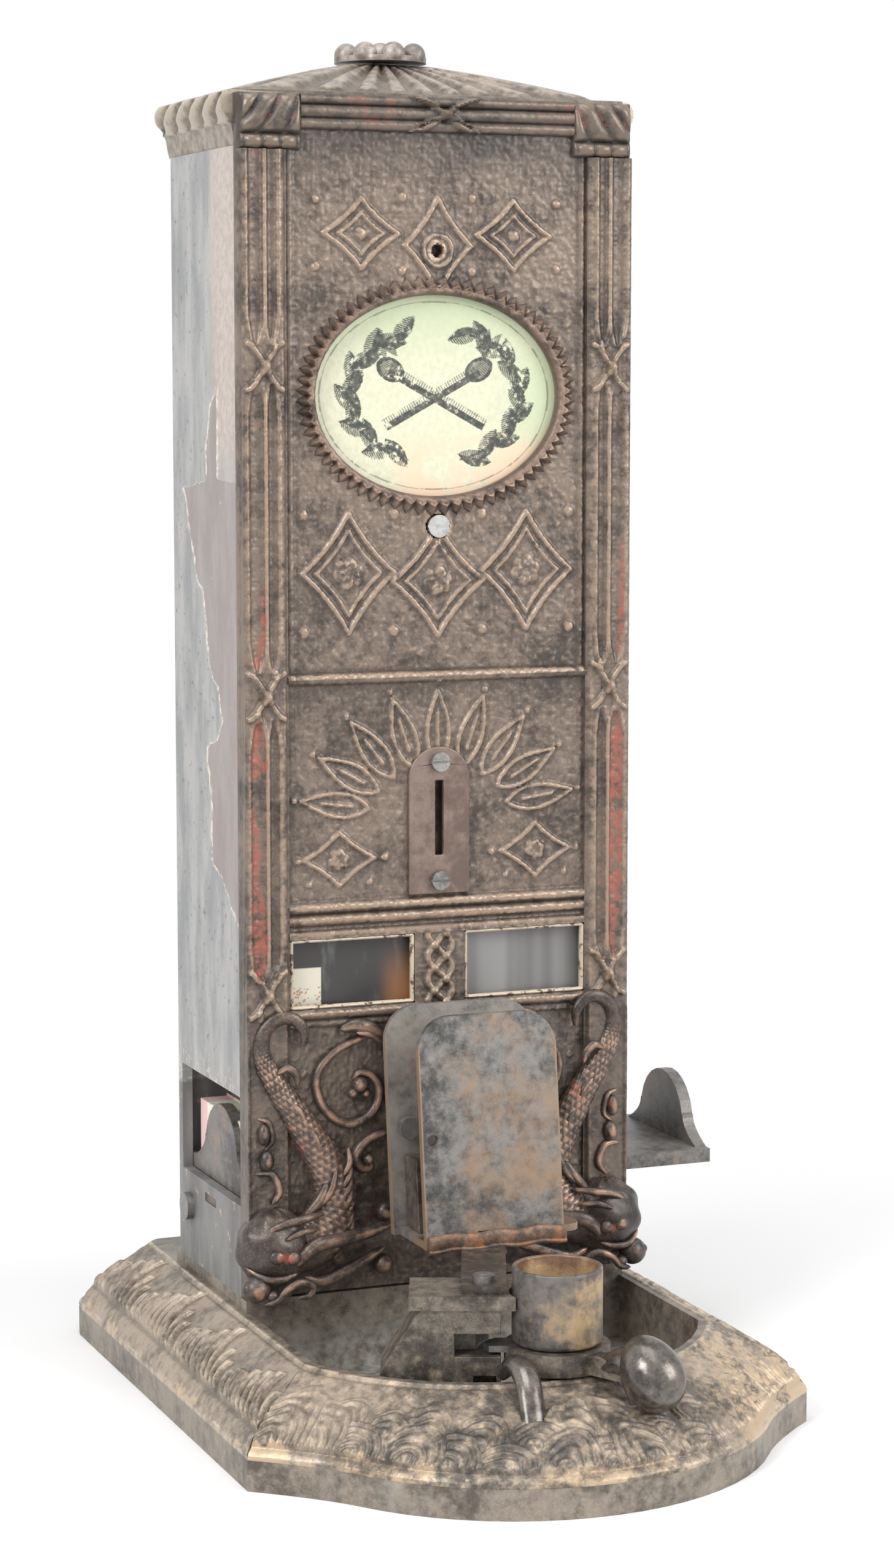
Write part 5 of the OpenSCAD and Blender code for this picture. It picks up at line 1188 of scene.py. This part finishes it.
def outer_edge(s):
    """Right half of the outer plan: the bow is an arc, and a cubic Bezier leads from it to the corner."""
    bow = arc(BOW_R, BOW_CY, np.clip(s / BOW_SHARE, 0, 1) * BOW_END)
    tip = arc(BOW_R, BOW_CY, BOW_END)
    one = tip + 8 * np.array([math.cos(BOW_END), math.sin(BOW_END)])
    two = CORNER - np.array([9.0, 7.0])
    t = np.clip((s - BOW_SHARE) / (1 - BOW_SHARE), 0, 1)[..., None]
    shoulder = (1 - t) ** 3 * tip + 3 * t * (1 - t) ** 2 * one + 3 * t * t * (1 - t) * two + t ** 3 * CORNER
    front = np.where(s[..., None] < BOW_SHARE, bow, shoulder)
    return plan_line(s, front, CORNER, np.array([BASE_HALF, BASE_REAR]), REAR_R)


def ridge_edge(s):
    """Right half of the ridge plan, matched to the outer plan."""
    rim = arc(RIM_R, RIM_CY, np.clip(s, 0, 1) * RIM_END)
    start = np.array([RIM_HALF, RIM_CY - RIM_R * math.cos(RIM_END)])
    return plan_line(s, rim, start, np.array([RIM_HALF, RIM_REAR]), RIM_REAR_R)


def slope(s, t):
    """Point on the sloping top of the base: from the outer edge at t = 0 to the ridge at t = 1."""
    plan = outer_edge(s) * (1 - t[..., None]) + ridge_edge(s) * t[..., None]
    z = np.interp(t, [0.0, 0.12, 0.3, 1.0], [8.3, 12.78, 16.86, 26.5])
    return np.concatenate([plan, z[..., None]], -1)


def stroke(along, across, foot, tall, half, start=8.6):
    """One ridge of a wave: it sweeps back from its foot by a parabola, bends forward and thins to its tip."""
    t = np.clip((across - start) / tall, 0, 1)
    d = (along - foot - tall * (1.25 * t - 1.05 * t * t)) / (half * (1 - 0.3 * t))
    inside = smooth(start - 0.8, start + 1.0, across) * smooth(start + tall + 0.6, start + tall - 1.6, across)
    return inside * np.sqrt(np.clip(1 - d * d, 0, 1)) * (0.95 + 0.65 * t)


def flank_waves(along, across, total):
    """Four waves that break towards the front: strokes grow up to the crest, with short ones curling before it."""
    high = np.zeros_like(along)
    room = float(total.min()) - 10.5
    for g in range(4):
        first = 2.0 + 40.0 * g
        for k in range(9):
            foot = first + 3.5 * k + 0.6 * math.sin(5.1 * k + 3 * g)
            tall = room * (1.0 - 0.52 * (k / 8) ** 0.8) * (1 + 0.07 * math.sin(3.7 * k + g))
            high = np.maximum(high, stroke(along, across, foot, tall, 1.7))
        for k in range(2):
            high = np.maximum(high, stroke(along, across, first - 3.4 - 3.3 * k, room * (0.70 - 0.17 * k), 1.5))
    return high


def bow_waves(along, across, total):
    """Overlapping wave shells in two rows: rings about points near the lower edge, cut off on one side."""
    q = np.stack([along, across], -1)
    warp = 2.4 * (rough_noise(q, 6.5, 21, 3) - 0.5)
    high = 0.5 * np.abs(rough_noise(q, 3.0, 27, 2) - 0.5)
    for row, start, size in ((1, 11.0, 9.0), (0, 3.0, 10.5)):
        for g in range(8):
            centre = 1.0 + 6.2 * row + 12.2 * g + 2.0 * math.sin(4.3 * g + row)
            up = (across - start) / (1.5 + 0.35 * math.sin(2.1 * g + 2 * row))
            r = np.hypot(along - centre + 0.55 * up, np.maximum(up, 0)) + warp
            reach = size * (1 + 0.16 * math.sin(5.7 * g + row))
            mask = smooth(reach, reach - 1.2, r) * smooth(start - 1.5, start, across)
            mask *= smooth(centre + 3.6, centre + 1.8, along)
            ring = (0.5 + 0.5 * np.cos(2 * math.pi * r / 1.85)) ** 0.8
            high = high * (1 - mask) + mask * (0.2 + 0.7 * ring)
    return high * smooth(3.2, 5.0, across) * smooth(total - 1.2, total - 3.6, across)


def base_skin(label, side, s_range, columns, waves, border, contrast, flecks, rows=110):
    """Closed relief skin on the slope of the base: an outer face lifted by the relief, inner edges sunk below it.

    waves gives the heights, border the place of the groove above the lip, contrast how far
    the wear follows the relief, and flecks the ochre all over.
    """
    s, t = np.meshgrid(np.linspace(*s_range, columns), np.linspace(0.0, 1.0, rows))
    p = slope(s, t)
    normal = np.cross(np.gradient(p, axis=1), np.gradient(p, axis=0))
    normal /= np.linalg.norm(normal, axis=-1, keepdims=True) + 1e-9
    normal *= np.sign(normal[..., 2:3])
    steps = np.linalg.norm(np.diff(p[rows // 2], axis=0), axis=1)
    along = np.concatenate([[0], np.cumsum(steps)])[None, :] + 0 * s
    steps = np.linalg.norm(np.diff(p, axis=0), axis=2)
    across = np.concatenate([np.zeros((1, columns)), np.cumsum(steps, axis=0)])
    total = across[-1:]
    groove = np.exp(-((across - border) / 0.7) ** 2) + np.exp(-((across - total + 2.2) / 0.6) ** 2)
    high = 0.85 * waves(along, across, total) + 0.45 * rough_noise(p, 4.0, 6, 3) - 0.45 * groove
    fade = smooth(0.0, 0.9, across) * smooth(0.0, 0.7, total - across)
    outer = p + normal * (0.12 + fade * (0.35 + high))[..., None]
    outer[..., 0] = np.clip(outer[..., 0], 0, BASE_HALF)
    outer[..., 1] = np.maximum(outer[..., 1], BOW_FRONT)
    inner = (p - normal * 0.9)[[0, -1]]
    points = np.concatenate([outer.reshape(-1, 3), inner.reshape(-1, 3)]) * (side, 1, 1)
    n = rows * columns
    index = np.arange(n).reshape(rows, columns)
    back = n + np.arange(2 * columns).reshape(2, columns)
    faces = [grid_faces(rows, columns), grid_faces(2, columns, flip=True, start=n)]
    for a, b in ((index[0], back[0]), (index[-1][::-1], back[1][::-1])):
        faces.append(np.stack([b[:-1], b[1:], a[1:], a[:-1]], -1))
    faces = np.concatenate(faces)
    caps = [np.concatenate([index[:, 0], back[::-1, 0]]), np.concatenate([index[::-1, -1], back[:, -1]])]
    wear = np.clip(0.5 + (high - blur(high, 9)) / 1.1, 0, 1)
    rubbed = np.clip(np.maximum(smooth(4.5, 1.0, across), smooth(2.5, 0.8, total - across)), 0, 1)
    wear = np.clip(0.45 + contrast * (wear - 0.5) + 0.20 * rubbed, 0, 1)
    paint = 0.52 * smooth(6.5, 2.5, across) * smooth(0.35, 0.62, rough_noise(p, 11.0, 14, 3)) + flecks
    if side > 0:
        # painted light from the right: the right end of the bow is tinted a lighter ochre
        paint = paint + 0.20 * smooth(30.0, 52.0, p[..., 0]) * smooth(-54.0, -72.0, p[..., 1])
        faces, caps = faces[:, ::-1], [cap[::-1] for cap in caps]
    fields = {"wear": np.append(wear, np.zeros(back.size)), "paint": np.append(paint, np.zeros(back.size))}
    add_mesh("base_" + label + "_" + SIDES[side], points, faces, "cabinet", BASE_TAN, ngons=caps,
             fields=fields, sharp=60)


def base_lip():
    """Rounded lip along the upper edge of the base's band, from one rear corner round the bow to the other."""
    half = np.linspace(0, 2.98, 420)
    plan = outer_edge(half) * 0.955 + ridge_edge(half) * 0.045
    line = np.vstack([plan[:0:-1] * (-1, 1), plan])
    path = np.column_stack([line, np.full(len(line), 9.3)])
    points, faces, caps, crest = tube(path, 0.95, 1.2, face=(0, 0, 1), sides=12)
    wear = np.clip(0.55 + 0.25 * crest + 0.5 * (value_noise(points, 5.0, 17) - 0.5), 0, 1)
    ochre = 0.30 + 0.24 * smooth(0.42, 0.7, value_noise(points, 14.0, 19))
    add_mesh("base_lip", points, faces, "cabinet", BASE_TAN, ngons=caps,
             fields={"wear": wear, "paint": ochre})


for side in SIDES:
    base_skin("flank", side, (1.0, 2.0), 620, flank_waves, 7.6, 0.46, 0.16)
    base_skin("bow", side, (0.0, 1.0), 480, bow_waves, 3.6, 0.34, 0.45)
base_lip()


# Handle and thumb horn of the cutter

def handle():
    """Lever handle: a short neck from the hub into an egg that points out and down."""
    hub, egg, tilt = np.array([2.0, -80.0, 30.3]), np.array([16.5, -107.6, 30.6]), math.radians(55)
    out = (egg - hub) * (1, 1, 0)
    out /= np.linalg.norm(out)
    axis = out * math.cos(tilt) - np.array([0, 0, math.sin(tilt)])
    s = np.linspace(-1, 1, 40)
    r = 8.2 * np.sqrt(np.clip(1 - (0.985 * s) ** 2, 0, 1)) * (1 + 0.1 * s)
    shape = tube(egg + np.outer(10.2 * s, axis), r, r, face=(0.3, 0.2, 1), sides=48)
    neck = curve([hub + out * 13.0, hub + out * 18.0, egg - out * 8.0 + (0, 0, 1.4),
                  egg - out * 2.0 + (0, 0, 1.0)], 30)
    stem = tube(neck, np.linspace(3.4, 6.0, 30), np.linspace(2.6, 5.0, 30), face=(0, 0, 1), sides=30)
    points, faces, caps, crest = gather([shape, stem])
    add_mesh("lever_handle", points, faces, "cutter_lever", GUNMETAL, ("lever_knob",), caps)


def horn():
    """Thumb horn: a polished curved fin that stands on the rim beside the cup."""
    path = curve([(-15.5, -84.5, 27.6), (-14.4, -88.5, 31.2), (-13.6, -93, 31.0), (-13.8, -97.8, 28.0),
                  (-14.6, -102, 23.2), (-15.4, -105.8, 18.2), (-16.0, -109.2, 14.6)], 70)
    t = np.linspace(0, 1, 70)
    wide, deep = (np.interp(t, [0, 0.15, 0.4, 0.7, 1.0], sizes)
                  for sizes in ([2.0, 3.1, 3.5, 3.4, 3.0], [1.6, 2.4, 2.6, 2.2, 1.8]))
    points, faces, caps, crest = tube(path, wide, deep, face=(0, -0.6, 0.8), sides=36)
    add_mesh("horn_fin", points, faces, "cabinet", GUNMETAL, ("thumb_horn",), caps)


handle()
horn()


# CAD pieces that keep their shape

LOOKS = {
    BASE_PLAIN: ("base_casting",),
    SHEET: ("base_plate", "picture_backing", "picture_strap", "left_column", "right_column", "coin_chute",
            "slide_bed", "door_knuckles", "hinge_leaves", "roof_bar", "cash_drawer"),
    STEEL: ("base_plate_screws", "cutter_pivot", "cutter_blade", "blade_rivets", "lever_spring", "cup_screw",
            "pocket_screws", "slot_plate_screws", "column_screws", "coin_catch", "catch_pin", "catch_spring",
            "side_bolts", "slide_rivets", "casting_screws", "hinge_pins", "finial_nut"),
    BRIGHT_STEEL: ("picture_screw",),
    SLOT_STEEL: ("slot_plate",),
    TRAY: ("cutter_housing", "cutter_lever"),
    CUP: ("ash_cup",),
    POCKET: ("matchbox_pocket",),
    BRONZE_PLAIN: ("pocket_block", "pocket_strap"),
    SIDE_PAINT: ("left_side", "right_side", "back_door"),
    PANE: ("left_window_glass", "right_window_glass"),
    BOX_CARD: ("matchbox_stack", "loaded_matchbox"),
    SLIDE: ("delivery_slide", "slide_tabs"),
    BRASS: ("door_lock", "lock_cam", "drawer_knob"),
    ROOF_PLAIN: ("finial",),
}
# Width of the rounded edges where they show, in millimetres
SOFT = {"base_casting": 0.6, "cutter_housing": 1.2, "cutter_lever": 0.8, "ash_cup": 0.5, "matchbox_pocket": 0.4,
        "slot_plate": 0.4, "slide_tabs": 0.4, "finial": 0.5, "picture_screw": 0.3, "slot_plate_screws": 0.3,
        "pocket_block": 0.4}


def soften(thing, width):
    """Rounds the edges of a CAD piece, after its loose triangles are joined."""
    thing.modifiers.new("weld", "WELD").merge_threshold = 0.01 * MM
    bevel = thing.modifiers.new("bevel", "BEVEL")
    bevel.width = width * MM
    bevel.segments = 3
    bevel.limit_method = "ANGLE"
    bevel.angle_limit = math.radians(35)
    bevel.harden_normals = True


for material, labels in LOOKS.items():
    for label in labels:
        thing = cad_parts[label]
        thing.data.materials.clear()
        thing.data.materials.append(material)
        if label in SOFT:
            soften(thing, SOFT[label])


# Floor, light and camera

AIM = np.array([0.0, 0.0, 0.18])  # point that the lamps look at
PHOTO_TALL, FOCAL_PIXELS, SENSOR = 2554, 5562.0, 36.0
EYE, EYE_DOWN, EYE_TURN = (-0.3511, -0.8823, 0.2829), 6.63, -21.86  # place in metres, degrees
LAMPS = (("key", (-1.10, -0.62, 0.95), 0.6, 11.0), ("fill", (0.90, -0.95, 0.75), 0.8, 10.5),
         ("top", (-0.15, -0.25, 1.3), 0.7, 5.0))  # place, size and power


def background_rays(tree):
    """1 for the rays that show the background: camera, glossy and transmission rays."""
    rays = tree.nodes.new("ShaderNodeLightPath").outputs
    seen, glossy, through = (Amount(tree, rays["Is %s Ray" % kind]) for kind in ("Camera", "Glossy", "Transmission"))
    return seen.larger(glossy.larger(through))


def add_object(name, data):
    """Puts a lamp or the camera into the scene."""
    thing = bpy.data.objects.new(name, data)
    bpy.context.scene.collection.objects.link(thing)
    return thing


def add_floor():
    """Pale floor that keeps the shadow near the object and shows plain white further away."""
    material, tree = new_material("floor")
    shader = tree.nodes.new("ShaderNodeBsdfDiffuse")
    shader.inputs["Color"].default_value = (0.95, 0.95, 0.95, 1)
    x, y, z = place(tree)
    away = (x * x + y * y).calc("SQRT")
    link_mixed(tree, away.step(0.16, 0.34) * background_rays(tree), shader, tree.nodes.new("ShaderNodeEmission"))
    bpy.ops.mesh.primitive_plane_add(size=40)
    plane = bpy.context.object
    plane.name = "floor"
    plane.data.materials.append(material)


def add_world():
    """White surroundings, dimmer as light than as a background."""
    world = bpy.data.worlds.new("studio")
    world.use_nodes = True
    bpy.context.scene.world = world
    tree = world.node_tree
    tree.nodes.clear()
    light = tree.nodes.new("ShaderNodeBackground")
    light.inputs["Color"].default_value = (1, 1, 1, 1)
    put(background_rays(tree) * 0.40 + 0.60, light.inputs["Strength"])
    tree.links.new(light.outputs[0], tree.nodes.new("ShaderNodeOutputWorld").inputs["Surface"])


def add_lamps():
    """Soft square lamps that look at the middle of the object."""
    for label, at, size, power in LAMPS:
        lamp = bpy.data.lights.new(label, "AREA")
        lamp.size = size
        lamp.energy = power
        thing = add_object(label, lamp)
        thing.location = at
        x, y, z = AIM - np.array(at)
        thing.rotation_euler = (math.atan2(math.hypot(x, y), -z), 0, math.atan2(y, x) - math.pi / 2)


def add_camera():
    """The camera of the photograph."""
    eye = bpy.data.cameras.new("photo_camera")
    eye.sensor_width = SENSOR
    eye.lens = FOCAL_PIXELS / PHOTO_TALL * SENSOR
    eye.clip_end = 60
    camera = add_object("photo_camera", eye)
    camera.location = EYE
    camera.rotation_euler = (math.radians(90 - EYE_DOWN), 0, math.radians(EYE_TURN))
    bpy.context.scene.camera = camera


add_floor()
add_world()
add_lamps()
add_camera()
bpy.context.scene.view_settings.view_transform = "Standard"
